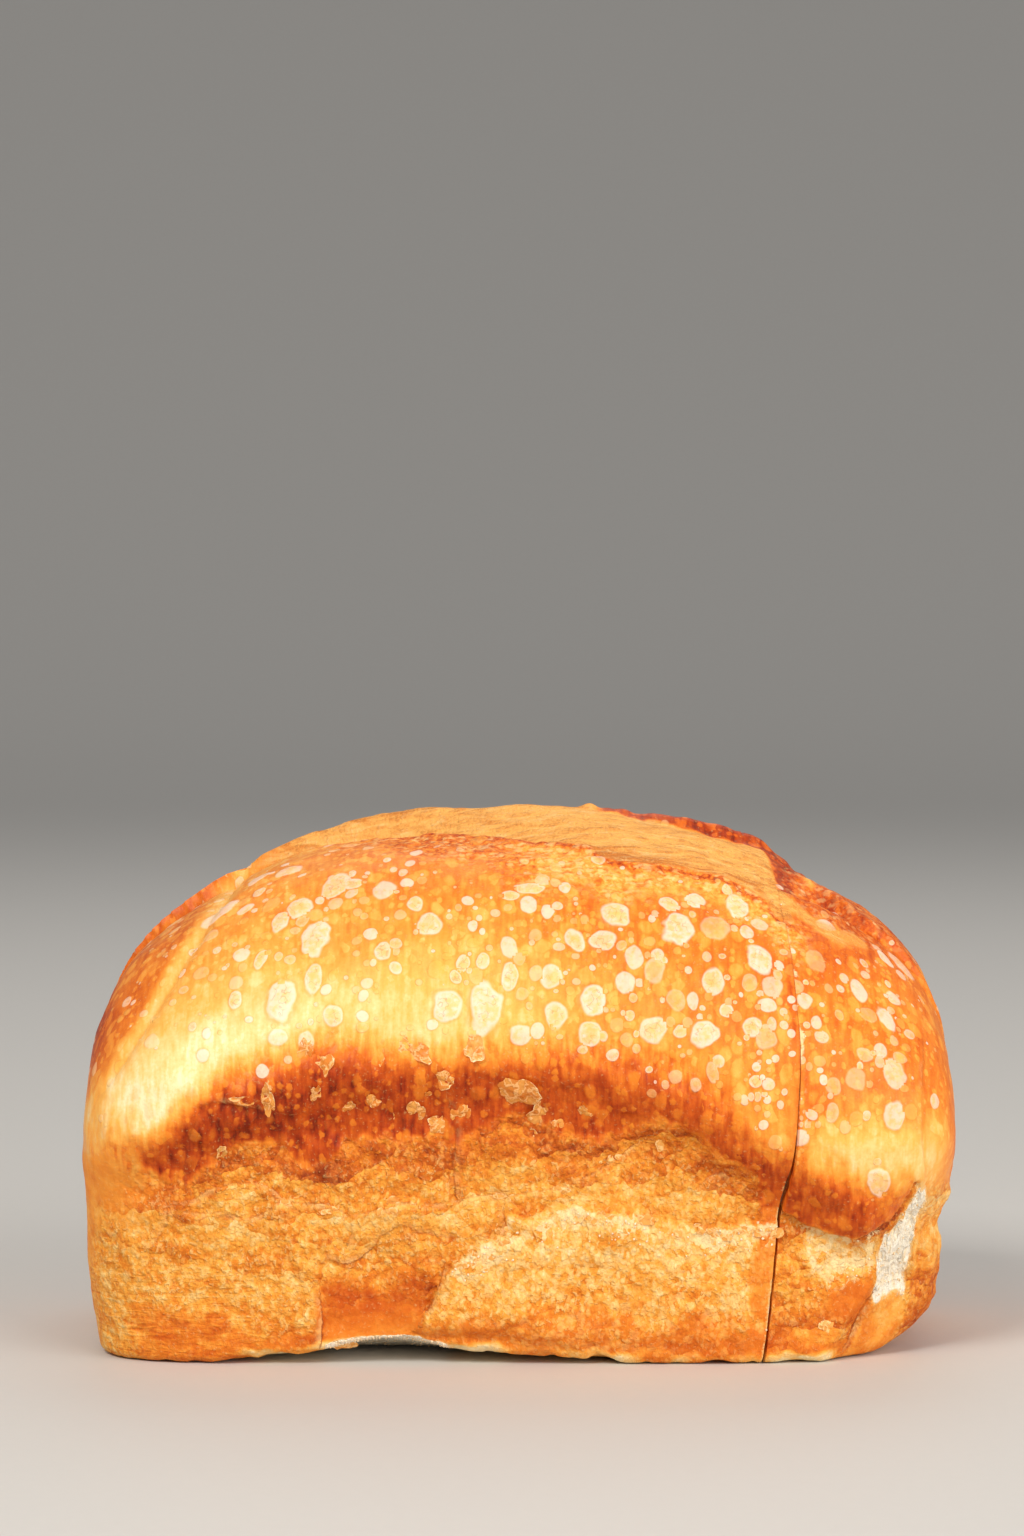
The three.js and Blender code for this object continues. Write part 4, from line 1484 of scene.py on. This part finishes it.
@dataclass(frozen=True)
class FlakeFinish:
    """Thin peeled skin: golden and a little clear in its middle, pale at its crinkled rim, partly dry, partly
    painted highlight.
    """

    middle: Colour = linear(246, 148, 50)
    skin: Colour = linear(252, 178, 84)
    rim: Colour = linear(255, 226, 170)

    def material(self) -> bpy.types.Material:
        """Builds the material: the painted way to the rim, roughened by noise, mixes three tones."""
        s = Shader("peeled_skin")
        rim, tone, _ = s.painted("rim")
        fine = s.noise(0.6, 3)
        mid = s.noise(2.0, 2)
        colour = s.mix((mid * 0.4 + fine * 0.2 + tone).step(0.1, 0.9), self.middle, self.skin)
        # The rim and the folds are pale: partly dry skin and partly painted highlight.
        dry_and_glint = (rim + fine * 0.2 + mid * 0.15).step(0.84, 1.06)
        colour = s.mix(dry_and_glint, colour, self.rim)
        fold = s.math("ABSOLUTE", s.noise(2.0, 2), 0.0).step(0.25, 0.05)
        colour = s.mix(fold * 0.35, colour, self.rim)
        cover = dry_and_glint * 0.4 + fold * 0.25 + (mid * 0.4 + tone * 0.5).step(-0.3, 0.9) * 0.25 + 0.6
        return s.close(
            fine * 0.1 + fold * 0.3,
            0.2,
            Base_Color=colour,
            Roughness=0.36 + fine * 0.06,
            Alpha=cover,
            Specular_IOR_Level=0.5,
        )


@dataclass(frozen=True)
class CrumbFinish:
    """White crumb: cream with tan hollows."""

    light: Colour = linear(252, 232, 198)
    shade: Colour = linear(240, 196, 134)

    def material(self) -> bpy.types.Material:
        """Builds the material: noise mixes the two tones."""
        s = Shader("white_crumb")
        fine = s.noise(0.7, 3)
        colour = s.mix((fine * 0.5 + 0.6).step(0.1, 0.8), self.shade, self.light)
        return s.close(fine * 0.3, 0.3, Base_Color=colour, Roughness=0.8 + fine * 0.03)


@dataclass
class CrustPiece:
    """A piece of the loaf that its crust and its cut face close, on side -1 or 1 of the cut."""

    form: LoafForm
    baking: Baking
    fine: float = 0.68
    coarse: float = 3.0
    face_rings: int = 11
    corner_rise: float = 4.0
    corner_pull: float = 8.0
    fray: float = 1.3
    blister_tries: int = 900
    seed: int = 5
    name: str = ""
    side: int = 0
    front_y: float = -45.0
    points: Array = field(default_factory=lambda: np.zeros(0))
    outs: Array = field(default_factory=lambda: np.zeros(0))
    zones: Zones | None = None

    def columns(self, x: float) -> Array:
        """Angles round the loaf, spaced by length along its section, close on the front and top.

        Args:
            x: where along the loaf the section is taken.

        Returns:
            The angles, from the front upwards.
        """
        angle = np.linspace(-0.5 * np.pi, 1.5 * np.pi, 6001)
        origin = np.array([x, 0.0, self.form.axis_height]) + np.zeros((len(angle), 3))
        section = self.form.meet(origin, self.form.across(angle, 0.0))
        middle = (angle[1:] + angle[:-1]) / 2
        close = ease(-0.95, -0.85, middle) * ease(2.15, 1.9, middle)
        steps = np.linalg.norm(np.diff(section, axis=0), axis=-1) / blend(self.coarse, self.fine, close)
        count = np.concatenate([[0.0], np.cumsum(steps)])
        return np.interp(np.arange(int(count[-1])) * count[-1] / int(count[-1]), count, angle)

    def rings(self) -> tuple[Array, Array]:
        """Starts and directions of the rays that find the crust, ring by ring. The pieces give their own."""
        raise NotImplementedError

    def known(self) -> list[Blister]:
        """Blisters with a given place on this side of the cut."""
        return [b for b in BLISTERS if (b.x < self.form.cut(self.front_y, b.z)) == (self.side < 0)]

    def dressed(self, plain: Array, outward: Array, relief: Array) -> Array:
        """The finished crust: the plain one moved out by the relief, with the score and the cove.

        Args:
            plain: points of the plain crust.
            outward: directions straight out of it.
            relief: how far each point moves out.

        Returns:
            The points.
        """
        clear = ease(0.3, 4, plain[..., 2])
        p = plain + outward * (relief * clear - self.baking.tear_valley(plain))[..., None]
        x, y, z = np.moveaxis(p, -1, 0)
        x = x - self.corner_pull * np.exp(-np.maximum(z, 0) / 3.5) * ease(76, 92, x) * ease(30, -20, y)
        z = z + self.form.score.rise(x, y) * ease(self.form.spring + 15, self.form.spring + 40, z)
        z = np.maximum(z, 0)
        hollow = self.form.cove(x, y) + self.corner_rise * ease(76, 94, x) * ease(15, -25, y)
        notches = np.maximum(self.baking.lump_grain.rough(plain, 7, 2), 0)
        notches = notches + 0.5 * np.maximum(self.baking.shred_grain.at(plain, 2.4), 0)
        hollow = hollow + self.fray * notches * ease(-38, -44, y)
        z = z + hollow * np.maximum(1 - z / self.form.cove_blend, 0) ** 2
        return np.stack([x, y, z], axis=-1)

    def face(self, edge: Array) -> Array:
        """The cut face: rings that shrink from the crust's edge to its middle, with pores inwards.

        Args:
            edge: ring of points on the cut plane.

        Returns:
            The rings, from the edge inwards.
        """
        middle = np.array([self.form.cut_at + self.side * self.form.cut_gap / 2, 0.0, self.form.axis_height])
        share = np.linspace(0, 1, self.face_rings + 1)[1:, None, None] ** 1.3
        rings = blend(edge[None], middle, share)
        pores = Grain(91).rough(rings, 5, 2)
        rings[..., 0] += self.side * 0.5 * np.maximum(pores, 0) * (1 - share[..., 0]) ** 0.2
        return rings

    def build(self) -> bpy.types.Object:
        """Builds the mesh with its zones painted on.

        Returns:
            The object.
        """
        plain, outward = self.crust()
        zones = self.baking.read(plain)
        marks = Blisters.lay(plain, outward, zones, self.known(), self.blister_tries, self.seed)
        crust = self.dressed(plain, outward, zones.relief + marks.domes(plain))
        shell = Shell(self.close(crust))
        self.points = crust.reshape(-1, 3)
        self.outs = outward.reshape(-1, 3)
        self.zones = zones
        triangles, quads = shell.faces()
        vertices = shell.flat(shell.points)
        piece = new_piece(self.name, vertices, triangles, quads)
        spread = {k: shell.flat(self.pad(v, float(k == "crumb"))) for k, v in vars(zones).items()}
        paint(piece, "bake", spread["bake"], spread["shred"], spread["crumb"])
        paint(piece, "skin", spread["bloom"], spread["gloss"], spread["streak"])
        paint(piece, "edge", spread["torn"], spread["groove"], spread["crinkle"])
        paint(piece, "line", spread["way"], spread["dark"], spread["pale"])
        paint(piece, "wall", spread["plate"], spread["ply"])
        base = shell.flat(self.close(plain))
        self.map_blisters(piece, marks, base, triangles, quads)
        LOG.info("%s: %d blisters, %d vertices", self.name, len(marks.tone), len(vertices))
        return piece

    def crust(self) -> tuple[Array, Array]:
        """Plain crust and the directions straight out of it."""
        origin, direction = self.rings()
        plain = self.form.meet(origin, direction)
        return plain, self.form.outward(plain)

    def close(self, crust: Array) -> Array:
        """Crust and cut face as one grid from point to point.

        Args:
            crust: rings of the crust, whose end at the cut is last on the loaf and first on the heel.

        Returns:
            The grid, in the same order.
        """
        to_cut = crust[:: -self.side]
        edge = to_cut[-1].copy()
        edge[:, 0] = self.form.cut(edge[:, 1], edge[:, 2], self.side)
        return np.concatenate([to_cut[:-1], edge[None], self.face(edge)])[:: -self.side]

    def pad(self, values: Array, filling: float) -> Array:
        """Values of the crust, which go on for a ring of the cut face, with a filling on its other rings.

        Args:
            values: values of the crust, ring by ring.
            filling: the value on the cut face.

        Returns:
            The values of the closed grid.
        """
        to_cut = values[:: -self.side]
        rest = np.full((self.face_rings - 1, values.shape[1]), filling)
        return np.concatenate([to_cut, to_cut[-1:], rest])[:: -self.side]

    def map_blisters(
        self, piece: bpy.types.Object, marks: Blisters, base: Array, triangles: Array, quads: Array
    ) -> None:
        """Writes each face corner's place on the nearest blister into a map, and the blister's tone.

        Args:
            piece: the piece.
            marks: its blisters.
            base: vertices of the plain crust.
            triangles: faces of three, as numbers of vertices.
            quads: faces of four.
        """
        owner3, near3 = marks.on_faces(base[triangles].mean(axis=1))
        owner4, near4 = marks.on_faces(base[quads].mean(axis=1))
        owner = np.concatenate([np.repeat(owner3, 3), np.repeat(owner4, 4)])
        near = np.concatenate([np.repeat(near3, 3), np.repeat(near4, 4)])
        away = base[np.concatenate([triangles.ravel(), quads.ravel()])] - marks.middle[owner]
        right = np.sum(away * marks.right[owner], axis=-1)
        up = np.sum(away * marks.up[owner], axis=-1)
        place = np.where(near[:, None], np.stack([right, up], axis=-1) / marks.size[owner], 9.0)
        layer = piece.data.uv_layers.new(name="blister")
        layer.data.foreach_set("uv", place.astype(np.float32).ravel())
        tone = piece.data.attributes.new("tone", "FLOAT", "CORNER")
        tone.data.foreach_set("value", np.where(near, marks.tone[owner], 0).astype(np.float32))

    def spot(self, x: float, z: float) -> tuple[Array, Array]:
        """The point of the finished front that is nearest to a place.

        Args:
            x: the place along the loaf.
            z: the place up it.

        Returns:
            The point, and the direction straight out there.
        """
        score = (self.points[:, 0] - x) ** 2 + (self.points[:, 2] - z) ** 2 + off_front(self.outs)
        found = int(np.argmin(score))
        return self.points[found], self.outs[found]


@dataclass
class Loaf(CrustPiece):
    """The loaf from its left end to the cut."""

    name: str = "loaf_crust"
    side: int = -1
    fan_at: float = -45.0
    fan_reach: float = 52.5
    wall_reach: float = 50.0
    end_rings: int = 30

    def rings(self) -> tuple[Array, Array]:
        """Rays that fan out over the left end, then rays across that lean more and more to the cut.

        Returns:
            Starts and directions.
        """
        angle = self.columns(0.0)
        on_end = np.arctan(np.linspace(0, 49, self.end_rings) / self.fan_reach)
        on_wall = np.arctan2(self.wall_reach, np.arange(self.wall_reach, 0, -self.fine))
        turn = np.concatenate([on_end, on_wall])[:, None]
        fan = self.form.across(angle, 0.0)[None] * np.sin(turn)[..., None]
        fan[..., 0] = -np.cos(turn)
        end = self.form.cut_at - self.form.cut_gap / 2
        share = np.linspace(0, 1, int((end - self.fan_at) / (0.93 * self.fine)))[:, None]
        body = self.form.across(angle[None], share)
        starts = np.concatenate([np.full(len(turn), self.fan_at), blend(self.fan_at, end, share[:, 0])])
        origin = np.zeros((len(starts), 1, 3)) + (0, 0, self.form.axis_height)
        origin[..., 0] = starts[:, None]
        direction = np.concatenate([fan, body])
        return np.broadcast_to(origin, direction.shape), direction


@dataclass
class HeelSlice(CrustPiece):
    """The heel slice to the right of the cut."""

    name: str = "heel_crust"
    side: int = 1
    blister_tries: int = 240
    seed: int = 8
    wall_reach: float = 50.0
    end_rings: int = 32

    def rings(self) -> tuple[Array, Array]:
        """Rays from the middle of the cut face, in its plane first and turning towards the right end.

        Returns:
            Starts and directions.
        """
        angle = self.columns(66.0)
        on_wall = np.arctan(np.arange(0, 42, self.fine) / self.wall_reach)
        on_end = np.arctan2(self.form.half_length - self.form.cut_at, np.linspace(56, 0, self.end_rings))
        turn = np.concatenate([on_wall, on_end[on_end > on_wall[-1] + 0.01]])[:, None, None]
        direction = self.form.across(angle, 1.0)[None] * np.cos(turn)
        direction = direction + np.sin(turn) * np.array([1.0, 0, 0])
        origin = np.array([self.form.cut_at + self.form.cut_gap / 2, 0.0, self.form.axis_height])
        return np.broadcast_to(origin, direction.shape), unit(direction)


@dataclass(frozen=True)
class Flake:
    """A peeled skin: its place on the front, half width, half height and turn in degrees."""

    x: float
    z: float
    wide: float
    high: float
    turn: float = 0.0


def joined(shells: list[Shell]) -> tuple[Array, Array, Array]:
    """Many small closed shells as one mesh.

    Args:
        shells: the shells.

    Returns:
        Vertices, faces of three and faces of four.
    """
    vertices, triangles, quads = [], [], []
    count = 0
    for shell in shells:
        three, four = shell.faces()
        points = shell.flat(shell.points)
        vertices.append(points)
        triangles.append(three + count)
        quads.append(four + count)
        count += len(points)
    return np.concatenate(vertices), np.concatenate(triangles), np.concatenate(quads)


@dataclass(frozen=True)
class PeeledSkins:
    """Burst blisters and lifted flakes of skin, as thin crinkled shells that rise towards their rims."""

    seed: int = 41
    thick: float = 0.16
    small_count: int = 50
    small_from: int = 100
    heel_from: float = 52.0
    large_grid: tuple[int, int] = (6, 26)
    small_grid: tuple[int, int] = (4, 12)
    # Places from marks read by eye and the same helper script, with most sizes set by hand
    large: tuple[Flake, ...] = tuple(
        Flake(*row)
        for row in (
            (0, 61, 5.0, 3.4, -20), (4, 56, 2.9, 3.3, 30), (-16, 64, 1.7, 2.2), (-22, 57, 1.8, 2.7, 10),
            (-13, 56, 1.8, 2.0, -30), (-20, 61, 0.9, 1.3), (-23, 71, 3.6, 2.2, -25),
            (-10, 71, 2.2, 2.8, 10), (-18, 54, 2.4, 2.0, 20), (8, 54, 1.3, 1.8), (3, 52, 0.9, 1.3, 40),
            (-46, 71, 1.8, 2.5), (-42, 67, 2.2, 2.6, -40), (-55, 60, 1.7, 3.9, 10), (-44, 61, 1.3, 1.9),
            (-37, 58, 1.1, 2.1, -10), (-32, 59, 1.8, 1.4), (-60, 60, 2.5, 1.0), (-54, 63, 0.4, 1.1, 20),
            (-30, 68, 0.4, 1.1, -30), (-27, 55, 0.4, 1.1, 15), (-4, 31, 1.3, 2.4), (-11, 26, 2.2, 1.1),
            (-28, 37, 2.4, 1.0, 5), (-42, 35, 2.0, 1.0), (9, 39, 2.2, 1.0), (-38, 4, 2.8, 1.4),
            (27, 33, 2.4, 1.0), (40, 31, 2.0, 1.0), (68, 8, 1.9, 1.6), (-52, 34, 1.9, 1.2, 10),
            (-65, 48, 1.5, 2.2), (20, 45, 2.0, 1.5), (31, 50, 1.3, 1.7), (14, 57, 1.3, 1.6),
        )
    )

    def skin(
        self, middle: Array, out: Array, flake: Flake, k: int, rings: int, columns: int
    ) -> tuple[Shell, Array]:
        """One skin: a low dome out to a ragged rim and back, lifted with the cube of the way from its hinge.

        Args:
            middle: where it sits.
            out: direction straight out there.
            flake: its sizes.
            k: its number, which picks its noise.
            rings: rings from the middle to the rim.
            columns: points round it.

        Returns:
            The shell, and the way to the rim at each point.
        """
        grain = Grain(self.seed + k)
        angle = np.linspace(0, 2 * np.pi, columns, endpoint=False)[None]
        way = np.concatenate([np.linspace(0, 1, rings), np.linspace(1, 0, rings)[1:]])[:, None]
        under = (np.arange(len(way)) >= rings)[:, None]
        circle = np.stack([np.cos(angle), np.sin(angle), 0 * angle + k], axis=-1)
        ragged = 1 + 0.45 * grain.at(circle, 0.9) + 0.28 * grain.at(circle, 0.4)
        turn = math.radians(flake.turn)
        right = unit(np.cross(np.array([0.0, 0.0, 1.0]), out))
        up = np.cross(out, right)
        side = flake.wide * way * ragged * np.cos(angle)
        tall = flake.high * way * ragged * np.sin(angle)
        size = min(flake.wide, flake.high)
        flat = np.stack([side, tall, 0 * side + k], axis=-1)
        crinkle = 0.55 * grain.at(flat, 1.1) + 0.35 * grain.at(flat, 0.5)
        hinge = 2 * np.pi * (0.5 + 0.5 * grain.corner(np.array([k, 3, 7])))
        opened = np.clip(0.5 + 0.5 * way * np.cos(angle - hinge), 0, 1)
        dome = 0.16 * size**0.8 * (1 - way**2)
        curl = crinkle * (0.35 + 0.5 * opened) * min(size, 1.5) / 1.5
        raised = dome + 0.5 * size**0.7 * opened**3 + curl - 0.1
        height = raised - under * self.thick * (1 - 0.5 * way)
        along = side * math.cos(turn) - tall * math.sin(turn)
        upward = side * math.sin(turn) + tall * math.cos(turn)
        points = middle + along[..., None] * right + upward[..., None] * up + height[..., None] * out
        return Shell(points), np.broadcast_to(way * (0.45 + 0.55 * opened), along.shape)

    def build(self, loaf: Loaf, heel: HeelSlice) -> bpy.types.Object:
        """Builds all the skins as one mesh, the known ones and small seeded ones on the torn wall.

        Args:
            loaf: the loaf that most of them sit on.
            heel: the heel that the others sit on.

        Returns:
            The object.
        """
        rng = np.random.default_rng(self.seed)
        made = []
        tones = []
        for k, flake in enumerate(self.large):
            carrier = loaf if flake.x < self.heel_from else heel
            made.append(self.skin(*carrier.spot(flake.x, flake.z), flake, k, *self.large_grid))
            tones.append(0.4 if flake.z > 50 else 0.8)
        torn = np.maximum(loaf.zones.torn - 0.2, 0) + 0.3 * loaf.zones.pale * ridge(loaf.zones.way - 0.4, 0.6)
        weight = torn.ravel() * (loaf.outs[:, 1] < -0.5) * (loaf.points[:, 2] > 4)
        for k, place in enumerate(rng.choice(len(weight), self.small_count, p=weight / weight.sum())):
            flake = Flake(0, 0, rng.uniform(0.5, 1.5), rng.uniform(0.4, 1.2), rng.uniform(-40, 40))
            number = self.small_from + k
            made.append(self.skin(loaf.points[place], loaf.outs[place], flake, number, *self.small_grid))
            tones.append(1.0)
        piece = new_piece("peeled_skins", *joined([shell for shell, _ in made]))
        rims = [shell.flat(way) for shell, way in made]
        spread = np.repeat(tones, [len(rim) for rim in rims])
        paint(piece, "rim", np.concatenate(rims), spread)
        return piece


@dataclass(frozen=True)
class LooseCrumb:
    """Crumb that stands out of the torn edges, the tear and the cut, as small ragged lumps."""

    seed: int = 67
    loaf_count: int = 320
    heel_count: int = 90
    radii: tuple[float, float] = (0.12, 0.3)

    def lump(self, middle: Array, radius: float, k: int) -> Shell:
        """One lump: a ball whose radius changes with noise.

        Args:
            middle: where it is.
            radius: its mean radius.
            k: its number, which picks its noise.

        Returns:
            The lump.
        """
        turn = np.linspace(0, np.pi, 5)[:, None]
        angle = np.linspace(0, 2 * np.pi, 7, endpoint=False)[None]
        axes = (np.sin(turn) * np.cos(angle), np.sin(turn) * np.sin(angle), np.cos(turn))
        ball = np.stack(np.broadcast_arrays(*axes), axis=-1)
        uneven = 1 + 0.5 * Grain(self.seed).at(ball + 9.3 * k, 0.6)
        return Shell(middle + radius * ball * uneven[..., None])

    def build(self, loaf: Loaf, heel: HeelSlice) -> bpy.types.Object:
        """Builds all the lumps as one mesh, thickest where the crust is torn.

        Args:
            loaf: the loaf.
            heel: the heel.

        Returns:
            The object.
        """
        rng = np.random.default_rng(self.seed)
        shells = []
        for carrier, count in ((loaf, self.loaf_count), (heel, self.heel_count)):
            weight = np.maximum(0.25 * carrier.zones.torn, 0.5 * carrier.zones.crumb).ravel()
            weight = weight * (carrier.points[:, 2] > 0.8)
            radii = rng.uniform(*self.radii, count)
            for place, radius in zip(rng.choice(len(weight), count, p=weight / weight.sum()), radii):
                middle = carrier.points[place] + 0.15 * radius * carrier.outs[place]
                shells.append(self.lump(middle, float(radius), len(shells)))
        return new_piece("loose_crumb", *joined(shells))


@dataclass(frozen=True)
class Lamp:
    """A square studio light: place, aim and side in metres, power in watts and colour."""

    place: tuple[float, float, float]
    aim: tuple[float, float, float]
    side: float
    power: float
    colour: Colour


@dataclass(frozen=True)
class Studio:
    """Pale floor, soft lights and the camera."""

    floor_colour: Colour = (0.62, 0.6, 0.57)
    floor_half: float = 4.0
    floor_back: float = 5.0
    floor_bend_from: float = 2.2
    floor_bend: float = 0.35
    floor_sink: float = 0.0002
    world: Colour = (0.95, 0.95, 0.95)
    world_strength: float = 0.34
    lens: float = 100.0
    sensor: float = 36.0
    eye: tuple[float, float, float] = (0.0, -0.97766, 0.17554)
    look_down: float = 7.0
    image: tuple[int, int] = (1024, 1536)
    target_pixel: tuple[float, float] = (519.0, 1089.0)
    lamps: tuple[Lamp, ...] = (
        Lamp((-0.6, -1.1, 1.15), (0.0, 0.0, 0.05), 0.5, 17.0, (1.0, 0.96, 0.9)),
        Lamp((0.9, -1.1, 0.7), (0.0, 0.0, 0.05), 1.0, 10.4, (1.0, 0.96, 0.91)),
        Lamp((1.15, -0.5, 0.35), (0.05, 0.0, 0.05), 0.7, 4.5, (1.0, 0.95, 0.89)),
        Lamp((0.1, 0.9, 1.2), (0.0, 0.0, 0.08), 0.9, 4.0, (1.0, 0.98, 0.95)),
    )

    def lay_floor(self) -> bpy.types.Object:
        """Floor: a sheet that runs flat and then bends up far behind, with the square of the way there.

        Returns:
            The object.
        """
        half = self.floor_half
        across, along = np.meshgrid(np.linspace(-half, half, 9), np.linspace(-half, self.floor_back, 46))
        height = self.floor_bend * np.maximum(along - self.floor_bend_from, 0) ** 2 - self.floor_sink
        points = np.stack([across, along, height], axis=-1)
        ids = np.arange(points[..., 0].size).reshape(across.shape)
        quads = np.stack([ids[:-1, :-1], ids[:-1, 1:], ids[1:, 1:], ids[1:, :-1]], axis=-1).reshape(-1, 4)
        mesh = bpy.data.meshes.new("floor")
        mesh.from_pydata(points.reshape(-1, 3).tolist(), [], quads.tolist())
        mesh.shade_smooth()
        floor = bpy.data.objects.new("floor", mesh)
        bpy.context.collection.objects.link(floor)
        s = Shader("pale_floor")
        grain = s.noise(3.0, 3)
        tone = s.mix(grain.step(-1.0, 1.0), tuple(0.985 * c for c in self.floor_colour), self.floor_colour)
        mesh.materials.append(s.close(grain, 0.012, Base_Color=tone, Roughness=0.7 + grain * 0.03))
        return floor

    def hang_lamps(self) -> None:
        """Hangs the lights and sets the soft light from all round."""
        for k, lamp in enumerate(self.lamps):
            light = bpy.data.lights.new(f"lamp_{k}", "AREA")
            light.size = lamp.side
            light.energy = lamp.power
            light.color = lamp.colour
            holder = bpy.data.objects.new(f"lamp_{k}", light)
            holder.location = lamp.place
            aim = Vector(lamp.aim) - holder.location
            holder.rotation_euler = aim.to_track_quat("-Z", "Y").to_euler()
            bpy.context.collection.objects.link(holder)
        world = bpy.data.worlds.new("soft_light")
        world.use_nodes = True
        sky = world.node_tree.nodes["Background"]
        sky.inputs[0].default_value = (*self.world, 1)
        sky.inputs[1].default_value = self.world_strength
        bpy.context.scene.world = world

    def set_camera(self) -> None:
        """Sets the camera, turned so that the loaf's middle comes to its place in the image."""
        pixels = self.lens / self.sensor * self.image[1]
        rise = math.atan((self.target_pixel[1] - self.image[1] / 2) / pixels)
        swing = math.atan((self.target_pixel[0] - self.image[0] / 2) / pixels)
        camera = bpy.data.cameras.new("camera")
        camera.lens = self.lens
        camera.sensor_width = self.sensor
        camera.dof.use_dof = False
        holder = bpy.data.objects.new("camera", camera)
        holder.location = self.eye
        holder.rotation_euler = (math.radians(90 - self.look_down) + rise, 0, swing)
        bpy.context.collection.objects.link(holder)
        bpy.context.scene.camera = holder
        bpy.context.scene.view_settings.view_transform = "Standard"
        bpy.context.scene.view_settings.look = "None"


def dress(piece: bpy.types.Object, material: bpy.types.Material, slot: Slot, *nodes: str) -> None:
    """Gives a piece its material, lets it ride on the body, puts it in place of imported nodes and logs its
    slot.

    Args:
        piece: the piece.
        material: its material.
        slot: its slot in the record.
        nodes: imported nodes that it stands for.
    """
    piece.data.materials.append(material)
    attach(piece, "root")
    if nodes:
        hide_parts(*nodes)
    LOG.info("%s: %d faces in slot %s", piece.name, len(piece.data.polygons), slot.value)


def main() -> None:
    """Sets the camera, builds and dresses the pieces in order, and lays the floor and the lights."""
    logging.basicConfig(level=logging.INFO, format="%(name)s: %(message)s")
    form = LoafForm()
    baking = Baking(form)
    studio = Studio()
    studio.set_camera()
    loaf = Loaf(form, baking)
    heel = HeelSlice(form, baking)
    dress(loaf.build(), CrustFinish("baked_crust").material(), Slot.CRUST, "loaf")
    dress(heel.build(), CrustFinish("baked_heel_crust").material(), Slot.HEEL, "heel_slice")
    dress(PeeledSkins().build(loaf, heel), FlakeFinish().material(), Slot.FLAKE)
    dress(LooseCrumb().build(loaf, heel), CrumbFinish().material(), Slot.CRUMB)
    studio.lay_floor()
    studio.hang_lamps()


if __name__ == "__main__":
    main()
